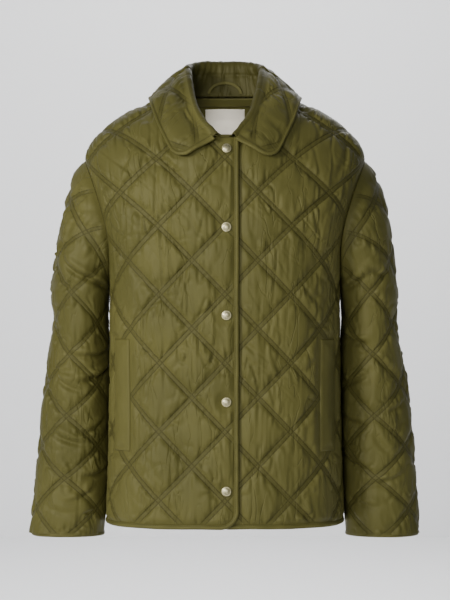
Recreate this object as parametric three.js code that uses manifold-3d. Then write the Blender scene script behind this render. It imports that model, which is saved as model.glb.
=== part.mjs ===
// A diamond-quilted jacket with a club collar, bound edges, welt pockets and five snaps,
// filled out as it is when worn. Units are millimetres, +Z is up and the front faces -Y.
// Each cloth piece is cut flat from one quilted cloth, in cloth coordinates (u across,
// h up, w through the cloth), and is then shaped on a general figure by a surface function.
import * as THREE from 'three';
import { mergeVertices } from 'three/addons/utils/BufferGeometryUtils.js';
import Module from 'manifold-3d';

const wasm = await Module();
wasm.setup();

// Driving sizes, read from the photo at 1.5 mm to the pixel
const SEAM_GAP = 0.3; // between pieces that are sewn together
const WALL = 2.4; // quilted cloth at a stitch line
const PUFF = 5.5; // how far the wadding rises at the middle of a diamond
const DIAMOND = { width: 95, height: 99 };
const SLEEVE_DIAMOND = { width: 95, height: 92 };
const CELLS = 4; // mesh cells across one diamond
const HEM_Z = -630;
const CUFF_Z = -652;
const BINDING = { width: 6.5, thick: 4.4 };
const LAP = 20; // each front runs this far past the centre line
const LAP_LIFT = 5.2; // the upper front lies this far out over the lower one
const HEM_CORNER = 26; // radius where the front edge turns into the hem
const NECK_OUT = { front: -66, point: 6, back: 8, halfWidth: 76 };

const clamp = (v, a, b) => Math.min(b, Math.max(a, v));
const smooth = (v, a, b) => {
  const t = clamp((v - a) / (b - a), 0, 1);
  return t * t * (3 - 2 * t);
};
const mix = (a, b, t) => a + (b - a) * t;

// A smooth curve through the rows of a table: key is the first column, and any column can be read
function tableCurve(rows, key, column) {
  const last = rows.length - 1;
  return (at) => {
    if (at <= rows[0][key]) return rows[0][column];
    if (at >= rows[last][key]) return rows[last][column];
    let i = 0;
    while (rows[i + 1][key] < at) i++;
    const slope = (j) => {
      const a = rows[Math.max(0, j - 1)];
      const b = rows[Math.min(last, j + 1)];
      return (b[column] - a[column]) / (b[key] - a[key]);
    };
    const span = rows[i + 1][key] - rows[i][key];
    const t = (at - rows[i][key]) / span;
    const end = 3 * t ** 2 - 2 * t ** 3;
    const [leave, arrive] = [t ** 3 - 2 * t ** 2 + t, t ** 3 - t ** 2];
    return mix(rows[i][column], rows[i + 1][column], end) + span * (leave * slope(i) + arrive * slope(i + 1));
  };
}

// The body: sections that round away at the sides, and a shoulder that closes over the top
const SECTION_POWER = 3;
const CHEST = { halfWidth: 167, front: 126, back: 114 };
const SHOULDER = { from: -205, ridgeY: 6, power: 2.15 };
const bodyRows = [
  { z: -660, wide: 7, deep: 8 },
  { z: -560, wide: 3, deep: 5 },
  { z: -430, wide: 0, deep: 1 },
  { z: -300, wide: 0, deep: 0 },
  { z: -250, wide: 4, deep: 0 },
  { z: -200, wide: 15, deep: 0 },
  { z: -150, wide: 30, deep: 0 },
  { z: -100, wide: 43, deep: 0 },
  { z: -60, wide: 49, deep: 0 },
];
const widen = tableCurve(bodyRows, 'z', 'wide');
const deepen = tableCurve(bodyRows, 'z', 'deep');
const ridgeRows = [
  { side: 0, z: 32 },
  { side: 0.25, z: 24 },
  { side: 0.44, z: 8 },
  { side: 0.645, z: -9.5 },
  { side: 0.77, z: -22 },
  { side: 0.89, z: -45 },
  { side: 0.96, z: -69 },
  { side: 1, z: -95 },
];
const ridge = tableCurve(ridgeRows, 'side', 'z');

// Points of the quarter section at equal steps of cloth, from the centre front to the side
const quarterSteps = 200;
const { points: quarterPoints, length: QUARTER } = (() => {
  const fine = [];
  for (let i = 0; i <= 2000; i++) {
    const angle = (i / 2000) * Math.PI / 2;
    fine.push([Math.sin(angle) ** (2 / SECTION_POWER), Math.cos(angle) ** (2 / SECTION_POWER)]);
  }
  const length = [0];
  for (let i = 1; i < fine.length; i++) {
    const dx = (fine[i][0] - fine[i - 1][0]) * CHEST.halfWidth;
    const dy = (fine[i][1] - fine[i - 1][1]) * (CHEST.front + CHEST.back) / 2;
    length.push(length[i - 1] + Math.hypot(dx, dy));
  }
  const out = [];
  let j = 0;
  for (let i = 0; i <= quarterSteps; i++) {
    const want = length.at(-1) * i / quarterSteps;
    while (j < fine.length - 2 && length[j + 1] < want) j++;
    const t = clamp((want - length[j]) / (length[j + 1] - length[j]), 0, 1);
    out.push([mix(fine[j][0], fine[j + 1][0], t), mix(fine[j][1], fine[j + 1][1], t)]);
  }
  return { points: out, length: length.at(-1) };
})();
function quarterAt(share) {
  const at = clamp(share, 0, 1) * quarterSteps;
  const i = Math.min(quarterSteps - 1, Math.floor(at));
  return [0, 1].map((k) => mix(quarterPoints[i][k], quarterPoints[i + 1][k], at - i));
}

// One upright line of cloth: the point at height z on the line that starts at share side of the section
function bodyAtZ(side, depth, isBack, z) {
  const x = side * CHEST.halfWidth + widen(z) * side ** 4;
  const half = (isBack ? CHEST.back : CHEST.front) + deepen(z);
  const out = depth * half;
  const top = ridge(side);
  const rise = clamp((z - SHOULDER.from) / (top - SHOULDER.from), 0, 1);
  const keep = (1 - rise ** SHOULDER.power) ** (1 / SHOULDER.power);
  const y = SHOULDER.ridgeY * (1 - keep) + (isBack ? out : -out) * keep;
  return [x, y, z];
}

// The upright lines are measured, so that h is cloth length from the hem
const lineSteps = 90;
const lineCache = new Map();
function uprightLine(share, isBack) {
  const key = `${share.toFixed(5)}${isBack}`;
  if (lineCache.has(key)) return lineCache.get(key);
  const [side, depth] = quarterAt(share);
  const top = ridge(side);
  const points = [];
  for (let i = 0; i <= lineSteps; i++) {
    const z = SHOULDER.from + (top - SHOULDER.from) * Math.sin((i / lineSteps) * Math.PI / 2);
    points.push(bodyAtZ(side, depth, isBack, z));
  }
  const length = [SHOULDER.from - HEM_Z];
  for (let i = 1; i < points.length; i++) {
    const [a, b] = [points[i - 1], points[i]];
    length.push(length[i - 1] + Math.hypot(b[1] - a[1], b[2] - a[2]));
  }
  const line = { side, depth, points, length };
  lineCache.set(key, line);
  return line;
}

// Where cloth coordinate u lies: which quarter, how far along it, and on which side
function quarterOf(u) {
  const wrapped = ((u / QUARTER + 2) % 4 + 4) % 4 - 2;
  const isBack = Math.abs(wrapped) > 1;
  return { isBack, share: isBack ? 2 - Math.abs(wrapped) : Math.abs(wrapped), sign: wrapped < 0 ? -1 : 1 };
}

function bodyPoint(u, h) {
  const { isBack, share, sign } = quarterOf(u);
  const line = uprightLine(share, isBack);
  let point;
  if (h <= line.length[0]) {
    point = bodyAtZ(line.side, line.depth, isBack, HEM_Z + h);
  } else {
    let i = 0;
    while (i < lineSteps - 1 && line.length[i + 1] < h) i++;
    const t = (h - line.length[i]) / (line.length[i + 1] - line.length[i]);
    point = [0, 1, 2].map((k) => mix(line.points[i][k], line.points[i + 1][k], t));
  }
  return new THREE.Vector3(sign * point[0], point[1], point[2]);
}

// A shaped surface: the point on it and the direction out of the cloth
function withNormal(surface) {
  const step = 2;
  return (u, h, w) => {
    const point = surface(u, h);
    const along = surface(u + step, h).sub(surface(u - step, h));
    const up = surface(u, h + step).sub(surface(u, h - step));
    const out = along.cross(up).normalize();
    return point.addScaledVector(out, w);
  };
}
const onBody = withNormal(bodyPoint);

// Cloth height of the shoulder ridge, and of the point seen from the front at x, z
const ridgeH = (u) => {
  const { isBack, share } = quarterOf(u);
  return uprightLine(share, isBack).length.at(-1);
};
function clothOf(x, z, isBack) {
  let [low, high] = [0, 1];
  for (let i = 0; i < 40; i++) {
    const share = (low + high) / 2;
    const side = quarterAt(share)[0];
    if (side * CHEST.halfWidth + widen(z) * side ** 4 < Math.abs(x)) low = share;
    else high = share;
  }
  const share = (low + high) / 2;
  const line = uprightLine(share, isBack);
  const sweep = clamp((z - SHOULDER.from) / (line.points.at(-1)[2] - SHOULDER.from), 0, 1);
  const at = Math.asin(sweep) / (Math.PI / 2) * lineSteps;
  const i = Math.min(lineSteps - 1, Math.floor(at));
  const h = z <= SHOULDER.from ? z - HEM_Z : mix(line.length[i], line.length[i + 1], at - i);
  return [Math.sign(x || 1) * share * QUARTER, h];
}

// Cut lines, in cloth coordinates of the front half. side is 1 or -1
const armholeRows = [
  { at: 0, share: 0.872, drop: 0 },
  { at: 0.2, share: 0.795, drop: 42 },
  { at: 0.42, share: 0.757, drop: 92 },
  { at: 0.62, share: 0.775, drop: 138 },
  { at: 0.8, share: 0.85, drop: 172 },
  { at: 0.92, share: 0.93, drop: 184 },
  { at: 1, share: 1, drop: 186 },
];
const armholeShare = tableCurve(armholeRows, 'at', 'share');
const armholeDrop = tableCurve(armholeRows, 'at', 'drop');
const ARMHOLE_STEPS = 22;
const UNDERARM_H = -264 - HEM_Z;
const TIP_SHARE = armholeRows[0].share;
const tipH = (isBack) => uprightLine(TIP_SHARE, isBack).length.at(-1);

// The armhole from the shoulder tip (at 0) to the underarm (at 1), as [u from the half's centre, h]
function armhole(at, isBack) {
  const drop = armholeDrop(at) / armholeRows.at(-1).drop;
  return [armholeShare(at) * QUARTER, mix(tipH(isBack), UNDERARM_H, drop)];
}

// The neckline from the centre (at 0) to the shoulder (at 1), as [u from the half's centre, h]
const NECK_STEPS = 14;
function neckline(at, isBack) {
  const low = isBack ? NECK_OUT.back : NECK_OUT.front;
  const angle = at * Math.PI / 2;
  const x = NECK_OUT.halfWidth * Math.sin(angle);
  const flat = isBack ? 1.5 : 1;
  const z = low + (NECK_OUT.point - low) * (1 - Math.cos(angle) ** flat);
  const [u, h] = clothOf(Math.max(x, 0.01), z, isBack);
  return at >= 1 ? [u, ridgeH(isBack ? 2 * QUARTER - u : u)] : [u, h];
}

// The neckline moved down into the cloth by inset, or up out of it where inset is below 0
function besideNeck(at, isBack, inset) {
  const [u1, h1] = neckline(Math.max(0, at - 0.02), isBack);
  const [u2, h2] = neckline(Math.min(0.99, at + 0.02), isBack);
  const size = Math.hypot(u2 - u1, h2 - h1);
  const [u, h] = neckline(Math.min(at, 0.99), isBack);
  return [u + inset * (h2 - h1) / size, h - inset * (u2 - u1) / size];
}

const steps = (count, f) => Array.from({ length: count + 1 }, (_, i) => f(i / count, i));

// The quilting: two families of stitch lines, with the wadding risen between them. The lattice
// has a crossing at its phase point
const bodyLattice = { ...DIAMOND, phase: [0, 41], cells: [CELLS, CELLS] };
function quilting({ width, height, phase }, u, h) {
  const rising = (u - phase[0]) / width + (h - phase[1]) / height;
  const falling = (u - phase[0]) / width - (h - phase[1]) / height;
  return Math.sqrt(Math.abs(Math.sin(Math.PI * rising) * Math.sin(Math.PI * falling)));
}

// A slight bow keeps flat stretches of a slab from being merged into a few large faces
const BOW = 2e-5;
const bow = (u, h) => BOW * (u * u + h * h);

// A grid of cells over the cloth. Each cell is two triangles, split along its stitch line
function clothGrid({ width, height, phase, cells }) {
  const [du, dh] = [width / cells[0], height / cells[1]];
  const fallingLine = (i, j) => (((i + j + 1) % cells[0]) + cells[0]) % cells[0] === 0;
  return { du, dh, fallingLine, at: (i, j) => [phase[0] + i * du, phase[1] + j * dh] };
}

// A flat slab of cloth over a box of cloth coordinates. base is its underside, relief raises its top
function slab({ u, h, relief = () => 0, lattice = bodyLattice, puff = PUFF, wall = WALL, base = 0 }) {
  const { du, dh, fallingLine, at } = clothGrid(lattice);
  const [u0, h0] = lattice.phase;
  const [iFrom, iTo] = [Math.floor((u[0] - u0) / du), Math.ceil((u[1] - u0) / du)];
  const [jFrom, jTo] = [Math.floor((h[0] - h0) / dh), Math.ceil((h[1] - h0) / dh)];
  const columns = iTo - iFrom + 1;
  const layer = columns * (jTo - jFrom + 1);
  const positions = [];
  for (const top of [0, 1]) {
    for (let j = jFrom; j <= jTo; j++) {
      for (let i = iFrom; i <= iTo; i++) {
        const [x, y] = at(i, j);
        positions.push(x, y, base + top * (wall + relief(x, y) * puff) + bow(x, y));
      }
    }
  }
  const under = (i, j) => (j - jFrom) * columns + i - iFrom;
  const over = (i, j) => layer + under(i, j);
  const faces = [];
  for (let j = jFrom; j < jTo; j++) {
    for (let i = iFrom; i < iTo; i++) {
      const corners = [[i, j], [i + 1, j], [i + 1, j + 1], [i, j + 1]];
      const [a, b, c, d] = fallingLine(i, j) ? [...corners.slice(1), corners[0]] : corners;
      faces.push(over(...a), over(...b), over(...c), over(...a), over(...c), over(...d));
      faces.push(under(...a), under(...c), under(...b), under(...a), under(...d), under(...c));
    }
  }
  const wallBetween = (p, q) => {
    const [a, b, c, d] = [under(...p), under(...q), over(...q), over(...p)];
    faces.push(a, b, c, a, c, d);
  };
  for (let i = iFrom; i < iTo; i++) {
    wallBetween([i, jFrom], [i + 1, jFrom]);
    wallBetween([i + 1, jTo], [i, jTo]);
  }
  for (let j = jFrom; j < jTo; j++) {
    wallBetween([iTo, j], [iTo, j + 1]);
    wallBetween([iFrom, j + 1], [iFrom, j]);
  }
  return manifoldOf(positions, faces);
}

// A shaped surface made of flat facets on the same grid, so that pieces laid on it touch evenly
function faceted(surface, lattice) {
  const { du, dh, fallingLine, at } = clothGrid(lattice);
  const corners = new Map();
  const corner = (i, j) => {
    const key = `${i},${j}`;
    if (!corners.has(key)) {
      const foot = surface(...at(i, j), 0);
      corners.set(key, { foot, out: surface(...at(i, j), 1).sub(foot) });
    }
    return corners.get(key);
  };
  return (u, h, w) => {
    const [x, y] = [(u - lattice.phase[0]) / du, (h - lattice.phase[1]) / dh];
    const [i, j] = [Math.floor(x), Math.floor(y)];
    const [fx, fy] = [x - i, y - j];
    let shares;
    if (fallingLine(i, j)) {
      shares = fx + fy < 1 ? [1 - fx - fy, fx, 0, fy] : [0, 1 - fy, fx + fy - 1, 1 - fx];
    } else {
      shares = fx > fy ? [1 - fx, fx - fy, fy, 0] : [1 - fy, 0, fx, fy - fx];
    }
    const point = new THREE.Vector3();
    [[i, j], [i + 1, j], [i + 1, j + 1], [i, j + 1]].forEach((place, k) => {
      const { foot, out } = corner(...place);
      point.addScaledVector(foot, shares[k]).addScaledVector(out, shares[k] * w);
    });
    return point;
  };
}
const backLattice = { ...bodyLattice, phase: [2 * QUARTER, bodyLattice.phase[1]] };
// Close to the shoulder ridge the panels keep the smooth surface, where front and back meet
const laidNearRidge = (facets) => (u, h, w) => (h > ridgeH(u) - 8 ? onBody(u, h, w) : facets(u, h, w));
const onFront = laidNearRidge(faceted(onBody, bodyLattice));
const onBack = laidNearRidge(faceted(onBody, backLattice));

// The quilting is stitched flat at a piece's own edges
const EDGE_FADE = 18;
function edgeFade(outline) {
  return (u, h) => {
    let near = Infinity;
    outline.forEach(([x1, y1], i) => {
      const [x2, y2] = outline[(i + 1) % outline.length];
      const [dx, dy] = [x2 - x1, y2 - y1];
      const t = clamp(((u - x1) * dx + (h - y1) * dy) / (dx * dx + dy * dy || 1), 0, 1);
      near = Math.min(near, Math.hypot(u - x1 - t * dx, h - y1 - t * dy));
    });
    return smooth(near, 0, EDGE_FADE);
  };
}

function manifoldOf(positions, indices) {
  return new wasm.Manifold(new wasm.Mesh({
    numProp: 3,
    vertProperties: new Float32Array(positions),
    triVerts: new Uint32Array(indices),
  }));
}

function geometryManifold(geometry) {
  geometry.deleteAttribute('normal');
  geometry.deleteAttribute('uv');
  const merged = mergeVertices(geometry, 1e-4);
  return manifoldOf(merged.attributes.position.array, merged.index.array);
}

// The prism over a flat outline, which cuts a pattern piece out of a slab
function prism(outline) {
  const shape = new THREE.Shape(outline.map(([u, h]) => new THREE.Vector2(u, h)));
  const geometry = new THREE.ExtrudeGeometry(shape, { depth: 120, bevelEnabled: false });
  return geometryManifold(geometry.translate(0, 0, -40));
}

// A flat solid laid onto a shaped surface, as a three.js geometry
function laidOn(solid, surface) {
  const { numProp, vertProperties, triVerts } = solid.getMesh();
  const positions = [];
  for (let i = 0; i < vertProperties.length; i += numProp) {
    const [u, h, w] = vertProperties.subarray(i, i + 3);
    positions.push(...surface(u, h, w - bow(u, h)).toArray());
  }
  const geometry = new THREE.BufferGeometry();
  geometry.setAttribute('position', new THREE.Float32BufferAttribute(positions, 3));
  geometry.setIndex(Array.from(triVerts));
  geometry.computeVertexNormals();
  return geometry;
}

// A strip swept through a list of rings, closed on itself or capped at its ends
function ringSolid(rings, closed) {
  const size = rings[0].length;
  const positions = rings.flat().flatMap((p) => p.toArray());
  const faces = [];
  const last = closed ? rings.length : rings.length - 1;
  for (let r = 0; r < last; r++) {
    const next = (r + 1) % rings.length;
    for (let k = 0; k < size; k++) {
      const [a, b] = [r * size + k, r * size + (k + 1) % size];
      const [c, d] = [next * size + (k + 1) % size, next * size + k];
      faces.push(a, b, c, a, c, d);
    }
  }
  if (!closed) {
    const end = (rings.length - 1) * size;
    for (let k = 1; k < size - 1; k++) faces.push(0, k + 1, k, end, end + k, end + k + 1);
  }
  if (manifoldOf(positions, faces).volume() < 0) faces.reverse();
  const geometry = new THREE.BufferGeometry();
  geometry.setAttribute('position', new THREE.Float32BufferAttribute(positions, 3));
  geometry.setIndex(faces);
  geometry.computeVertexNormals();
  return geometry;
}

// Finishes
const quiltedCloth = new THREE.MeshStandardMaterial({ color: 0x5e5a2c, roughness: 0.55 });
const bindingCloth = new THREE.MeshStandardMaterial({ color: 0x5a5529, roughness: 0.6 });
const snapMetal = new THREE.MeshStandardMaterial({ color: 0xb9b39a, roughness: 0.3, metalness: 0.9 });
const labelCloth = new THREE.MeshStandardMaterial({ color: 0xd8cfbc, roughness: 0.8 });

const jacket = new THREE.Group();
function addPiece(name, geometry, material) {
  const mesh = new THREE.Mesh(geometry, material);
  mesh.name = name;
  jacket.add(mesh);
}

// Pocket welts, snaps and the lap press the quilting flat where they lie
const WELT = { width: 34, height: 163, thick: 2.4, centreX: 149, lowZ: -520, lean: 3 };
const weltCentreU = clothOf(WELT.centreX, WELT.lowZ + WELT.height / 2, false)[0];
const weltLowH = WELT.lowZ - HEM_Z;
const SNAP = { radius: 7, rise: 3.2, u: 2, heights: [548, 435, 308, 183, 55] };
function flattening(u, h) {
  const cell = DIAMOND.width / CELLS;
  const acrossWelt = Math.abs(Math.abs(u) - weltCentreU) - WELT.width / 2;
  const alongWelt = Math.max(weltLowH - h, h - weltLowH - WELT.height);
  const welt = smooth(Math.max(acrossWelt, alongWelt), cell, cell + 16);
  const nearSnap = Math.min(...SNAP.heights.map((at) => Math.hypot(u - SNAP.u, h - at)));
  return welt * smooth(nearSnap, SNAP.radius + cell, SNAP.radius + cell + 10);
}
// Where the arm hangs against the body both are pressed flatter
const sidePress = (u) => mix(0.25, 1, smooth((1 - quarterOf(u).share) * QUARTER, 15, 70));
const bodyRelief = (u, h) => quilting(bodyLattice, u, h) * flattening(u, h) * sidePress(u);

// Front panels. edge is how far the panel reaches past the centre, before its binding
const SEAM = SEAM_GAP / 2;
const SHOULDER_SEAM = 1.2;
const BOUND = BINDING.width + SEAM_GAP;
function frontOutline() {
  const edge = -LAP + BOUND;
  const corner = HEM_CORNER - BOUND;
  const turn = steps(6, (t) => {
    const angle = t * Math.PI / 2;
    return [edge + corner * (1 - Math.cos(angle)), BOUND + corner * (1 - Math.sin(angle))];
  });
  const neck = steps(NECK_STEPS, (t) => neckline(t, false)).slice(1);
  const shoulder = steps(8, (t) => {
    const u = mix(neck.at(-1)[0], TIP_SHARE * QUARTER, t);
    return [u, ridgeH(u) - SHOULDER_SEAM];
  });
  const arm = steps(ARMHOLE_STEPS, (t) => armhole(t, false)).slice(1)
    .map(([u, h]) => [Math.min(u, QUARTER - SEAM), h]);
  const top = [...neck.slice(0, -1), ...shoulder, ...arm].reverse();
  const neckLow = neckline(0, false)[1];
  return [...turn, [QUARTER - SEAM, BOUND], ...top, [0, neckLow], [edge, neckLow]];
}

// The upper front stands off the lower one near the centre, and comes back to the body beyond the lap
const lapLift = (u) => LAP_LIFT * smooth(u, -LAP - 46, -LAP - 4);
const onUpperFront = (u, h, w) => onFront(u, h, w + lapLift(u));

const mirrored = (outline) => outline.map(([u, h]) => [-u, h]).reverse();
const lowerCut = frontOutline();
const upperCut = mirrored(lowerCut);
const clothTop = ridgeH(0.01) + 10;
const lowerFade = edgeFade(lowerCut);
const upperFade = edgeFade(upperCut);
const lowerFlat = slab({
  u: [-LAP, QUARTER],
  h: [0, clothTop],
  relief: (u, h) => bodyRelief(u, h) * lowerFade(u, h) * smooth(u, LAP, LAP + 14),
}).intersect(prism(lowerCut));
const upperFlat = slab({
  u: [-QUARTER, LAP],
  h: [0, clothTop],
  relief: (u, h) => bodyRelief(u, h) * upperFade(u, h),
}).intersect(prism(upperCut));
addPiece('left_front', laidOn(lowerFlat, onFront), quiltedCloth);
addPiece('right_front', laidOn(upperFlat, onUpperFront), quiltedCloth);

// Back, cut in one from side seam to side seam
function backHalf() {
  const neck = steps(NECK_STEPS, (t) => neckline(t, true));
  const shoulderFrom = neck.at(-1)[0];
  const shoulder = steps(8, (t) => {
    const u = mix(shoulderFrom, TIP_SHARE * QUARTER, t);
    return [u, ridgeH(2 * QUARTER - u) - SHOULDER_SEAM];
  });
  const arm = steps(ARMHOLE_STEPS, (t) => armhole(t, true)).slice(1)
    .map(([u, h]) => [Math.min(u, QUARTER - SEAM), h]);
  return [...neck.slice(0, -1), ...shoulder, ...arm, [QUARTER - SEAM, BOUND]];
}
function backOutline() {
  const half = backHalf();
  const right = half.map(([u, h]) => [2 * QUARTER + u, h]).reverse();
  const left = half.slice(1).map(([u, h]) => [2 * QUARTER - u, h]);
  return [...right, ...left];
}
const backCut = backOutline();
const backFade = edgeFade(backCut);
const backFlat = slab({
  u: [QUARTER, 3 * QUARTER],
  h: [0, clothTop],
  relief: (u, h) => quilting(backLattice, u, h) * sidePress(u) * backFade(u, h),
  lattice: backLattice,
}).intersect(prism(backCut));
addPiece('back', laidOn(backFlat, onBack), quiltedCloth);

// Sleeves: from the armhole they turn down into sections that hang beside the body
const sleeveRows = [
  { z: -655, outer: 288, inner: 187, depth: 43, centreY: 8 },
  { z: -600, outer: 284, inner: 182, depth: 46, centreY: 11 },
  { z: -540, outer: 279, inner: 179, depth: 50, centreY: 14 },
  { z: -450, outer: 271, inner: 178, depth: 54, centreY: 18 },
  { z: -400, outer: 265, inner: 178, depth: 57, centreY: 20 },
  { z: -330, outer: 255, inner: 178, depth: 60, centreY: 20 },
];
const sleeveAt = Object.fromEntries(['outer', 'inner', 'depth', 'centreY'].map((column) => (
  [column, tableCurve(sleeveRows, 'z', column)])));
const HANG_Z = sleeveRows.at(-1).z;
const HANG_L = HANG_Z - CUFF_Z;
const SLEEVE_HALF = 166; // half of the cloth round the sleeve at its top
const SLEEVE_HALF_CUFF = 150;
const sleeveHalf = (l) => mix(SLEEVE_HALF_CUFF, SLEEVE_HALF, clamp(l / HANG_L, 0, 1));

function sleeveRing(angle, z) {
  const [outer, inner] = [sleeveAt.outer(z), sleeveAt.inner(z)];
  const across = Math.cos(angle);
  return new THREE.Vector3(
    (outer + inner) / 2 + (outer - inner) / 2 * Math.sign(across) * Math.abs(across) ** 0.92,
    sleeveAt.centreY(z) - sleeveAt.depth(z) * Math.sin(angle),
    z,
  );
}
const armholePoint = (at, isBack) => {
  const [u, h] = armhole(at, isBack);
  return bodyPoint(isBack ? 2 * QUARTER - u : u, h);
};
const sleeveCache = new Map();
function sleeveLine(angle) {
  const key = angle.toFixed(4);
  if (sleeveCache.has(key)) return sleeveCache.get(key);
  const turned = ((angle + Math.PI) % (2 * Math.PI) + 2 * Math.PI) % (2 * Math.PI) - Math.PI;
  const start = armholePoint(Math.abs(turned) / Math.PI, turned < 0);
  const end = sleeveRing(angle, HANG_Z);
  const reach = end.clone().sub(start).length();
  const down = new THREE.Vector3(0, 0, -1);
  const outward = 0.3 + 0.7 * Math.sin(angle) ** 2;
  const leave = end.clone().sub(start).normalize().add(new THREE.Vector3(outward, 0, 0)).normalize();
  const curve = new THREE.CubicBezierCurve3(
    start,
    start.clone().addScaledVector(leave, reach * 0.3),
    end.clone().addScaledVector(down, -reach * mix(0.2, 0.35, Math.sin(angle) ** 2)),
    end,
  );
  const line = { curve, length: curve.getLength() };
  sleeveCache.set(key, line);
  return line;
}
function sleevePoint(a, l) {
  const angle = -a / sleeveHalf(l) * Math.PI;
  if (l <= HANG_L) return sleeveRing(angle, CUFF_Z + l);
  const line = sleeveLine(angle);
  return line.curve.getPointAt(clamp(1 - (l - HANG_L) / line.length, 0, 1));
}
// The surface normal near the armhole is read just below it, where the line still has room
const onSleeve = (() => {
  const step = 3;
  return (a, l, w) => {
    const angle = -a / sleeveHalf(l) * Math.PI;
    const top = l > HANG_L ? HANG_L + sleeveLine(angle).length - step * 1.5 : l;
    const at = Math.min(l, top);
    const along = sleevePoint(a + step, at).sub(sleevePoint(a - step, at));
    const up = sleevePoint(a, at + step).sub(sleevePoint(a, at - step));
    return sleevePoint(a, l).addScaledVector(along.cross(up).normalize(), w);
  };
})();
const ARM_GAP = 1.6; // clear of the armhole's edge
function sleeveOutline() {
  const count = 30;
  const cap = steps(count, (t) => {
    const a = mix(SLEEVE_HALF - SEAM, -(SLEEVE_HALF - SEAM), t);
    const angle = -a / SLEEVE_HALF * Math.PI;
    return [a, HANG_L + sleeveLine(angle).length - ARM_GAP];
  });
  const low = SLEEVE_HALF_CUFF - SEAM + (SLEEVE_HALF - SLEEVE_HALF_CUFF) * BOUND / HANG_L;
  const high = SLEEVE_HALF - SEAM;
  return [[-low, BOUND], [low, BOUND], [high, HANG_L], ...cap, [-high, HANG_L]];
}
const sleeveLattice = { ...SLEEVE_DIAMOND, phase: [-SLEEVE_HALF / 2, -4], cells: [CELLS, CELLS] };
const sleeveCut = sleeveOutline();
const sleeveFade = edgeFade(sleeveCut);
const sleeveRelief = (a, l) => {
  const inner = Math.abs(a) / sleeveHalf(l);
  return quilting(sleeveLattice, a, l) * mix(1, 0.2, smooth(inner, 0.6, 0.88)) * sleeveFade(a, l);
};
const sleeveFlat = slab({
  u: [-SLEEVE_HALF, SLEEVE_HALF], h: [0, HANG_L + 300], relief: sleeveRelief, lattice: sleeveLattice,
}).intersect(prism(sleeveCut));
const mirrorX = (p) => p.setX(-p.x);
const onOtherSleeve = (a, l, w) => mirrorX(onSleeve(-a, l, w));

// A sleeve is cut clear of the panels that it is sewn to
const CLEAR = 0.35;
const clearSteps = [[1, 0, 0], [-1, 0, 0], [0, 1, 0], [0, -1, 0], [0, 0, -1]];
function clearOf(geometry, neighbours) {
  let solid = geometryManifold(geometry);
  for (const name of neighbours) {
    const neighbour = geometryManifold(jacket.getObjectByName(name).geometry.clone());
    for (const step of clearSteps) solid = solid.subtract(neighbour.translate(step.map((v) => v * CLEAR)));
  }
  const largest = solid.decompose().sort((a, b) => b.volume() - a.volume())[0];
  return laidOn(largest.simplify(0.08), (x, y, z) => new THREE.Vector3(x, y, z + bow(x, y)));
}
addPiece('left_sleeve', clearOf(laidOn(sleeveFlat, onSleeve), ['left_front', 'back']), quiltedCloth);
addPiece('right_sleeve', clearOf(laidOn(sleeveFlat, onOtherSleeve), ['right_front', 'back']), quiltedCloth);

// Bindings: tape folded over an edge. A path row gives cloth coordinates and the way out of the cloth
const tapeSection = [[0, 0], [0, 1], [0.5, 1.12], [0.93, 0.85], [1, 0.3], [0.6, -0.12]];
function tape(path, surface, closed = false, lift = 0) {
  const rings = path.map(({ u, h, out }) => tapeSection.map(([across, through]) => surface(
    u + out[0] * across * BINDING.width,
    h + out[1] * across * BINDING.width,
    through * (BINDING.thick - 0.6) - 0.5 + lift,
  )));
  return ringSolid(rings, closed);
}
function frontEdgePath(side) {
  const neckLow = neckline(0, false)[1];
  const edge = -LAP + BINDING.width;
  const corner = HEM_CORNER - BINDING.width;
  const straight = steps(18, (t) => ({ u: edge, h: mix(neckLow - 1, HEM_CORNER + 4, t), out: [-1, 0] }));
  const turn = steps(6, (t) => {
    const angle = t * Math.PI / 2;
    const out = [-Math.cos(angle), -Math.sin(angle)];
    return { u: edge + corner * (1 + out[0]), h: BINDING.width + corner * (1 + out[1]), out };
  });
  const hemStart = HEM_CORNER + 4;
  const hem = steps(12, (t) => ({ u: mix(hemStart, QUARTER - SEAM, t), h: BINDING.width, out: [0, -1] }));
  const rows = [...straight, ...turn, ...hem];
  return rows.map(({ u, h, out }) => ({ u: side * u, h, out: [side * out[0], out[1]] }));
}
addPiece('left_front_binding', tape(frontEdgePath(1), onFront), bindingCloth);
addPiece('right_front_binding', tape(frontEdgePath(-1), onUpperFront), bindingCloth);
const backHemPath = steps(24, (t) => ({
  u: mix(QUARTER + SEAM, 3 * QUARTER - SEAM, t), h: BINDING.width, out: [0, -1],
}));
addPiece('back_hem_binding', tape(backHemPath, onBack), bindingCloth);
const cuffPath = steps(19, (t) => ({
  u: mix(-SLEEVE_HALF_CUFF, SLEEVE_HALF_CUFF, t * 19 / 20), h: BINDING.width, out: [0, -1],
}));
addPiece('left_cuff_binding', tape(cuffPath, onSleeve, true), bindingCloth);
addPiece('right_cuff_binding', tape(cuffPath, onOtherSleeve, true), bindingCloth);

// Pocket welts, laid on the flattened cloth
function weltFlat(side) {
  const outline = [[-1, 0], [1, 0], [1, 1], [-1, 1]].map(([across, up]) => [
    side * (weltCentreU + across * WELT.width / 2 + (up - 0.5) * WELT.lean),
    weltLowH + up * WELT.height,
  ]);
  if (side < 0) outline.reverse();
  const u = [side * weltCentreU - WELT.width, side * weltCentreU + WELT.width];
  const h = [weltLowH - 10, weltLowH + WELT.height + 10];
  return slab({ u, h, base: WALL + SEAM_GAP, wall: WELT.thick }).intersect(prism(outline));
}
addPiece('left_pocket_welt', laidOn(weltFlat(1), onFront), quiltedCloth);
addPiece('right_pocket_welt', laidOn(weltFlat(-1), onUpperFront), quiltedCloth);

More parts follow.
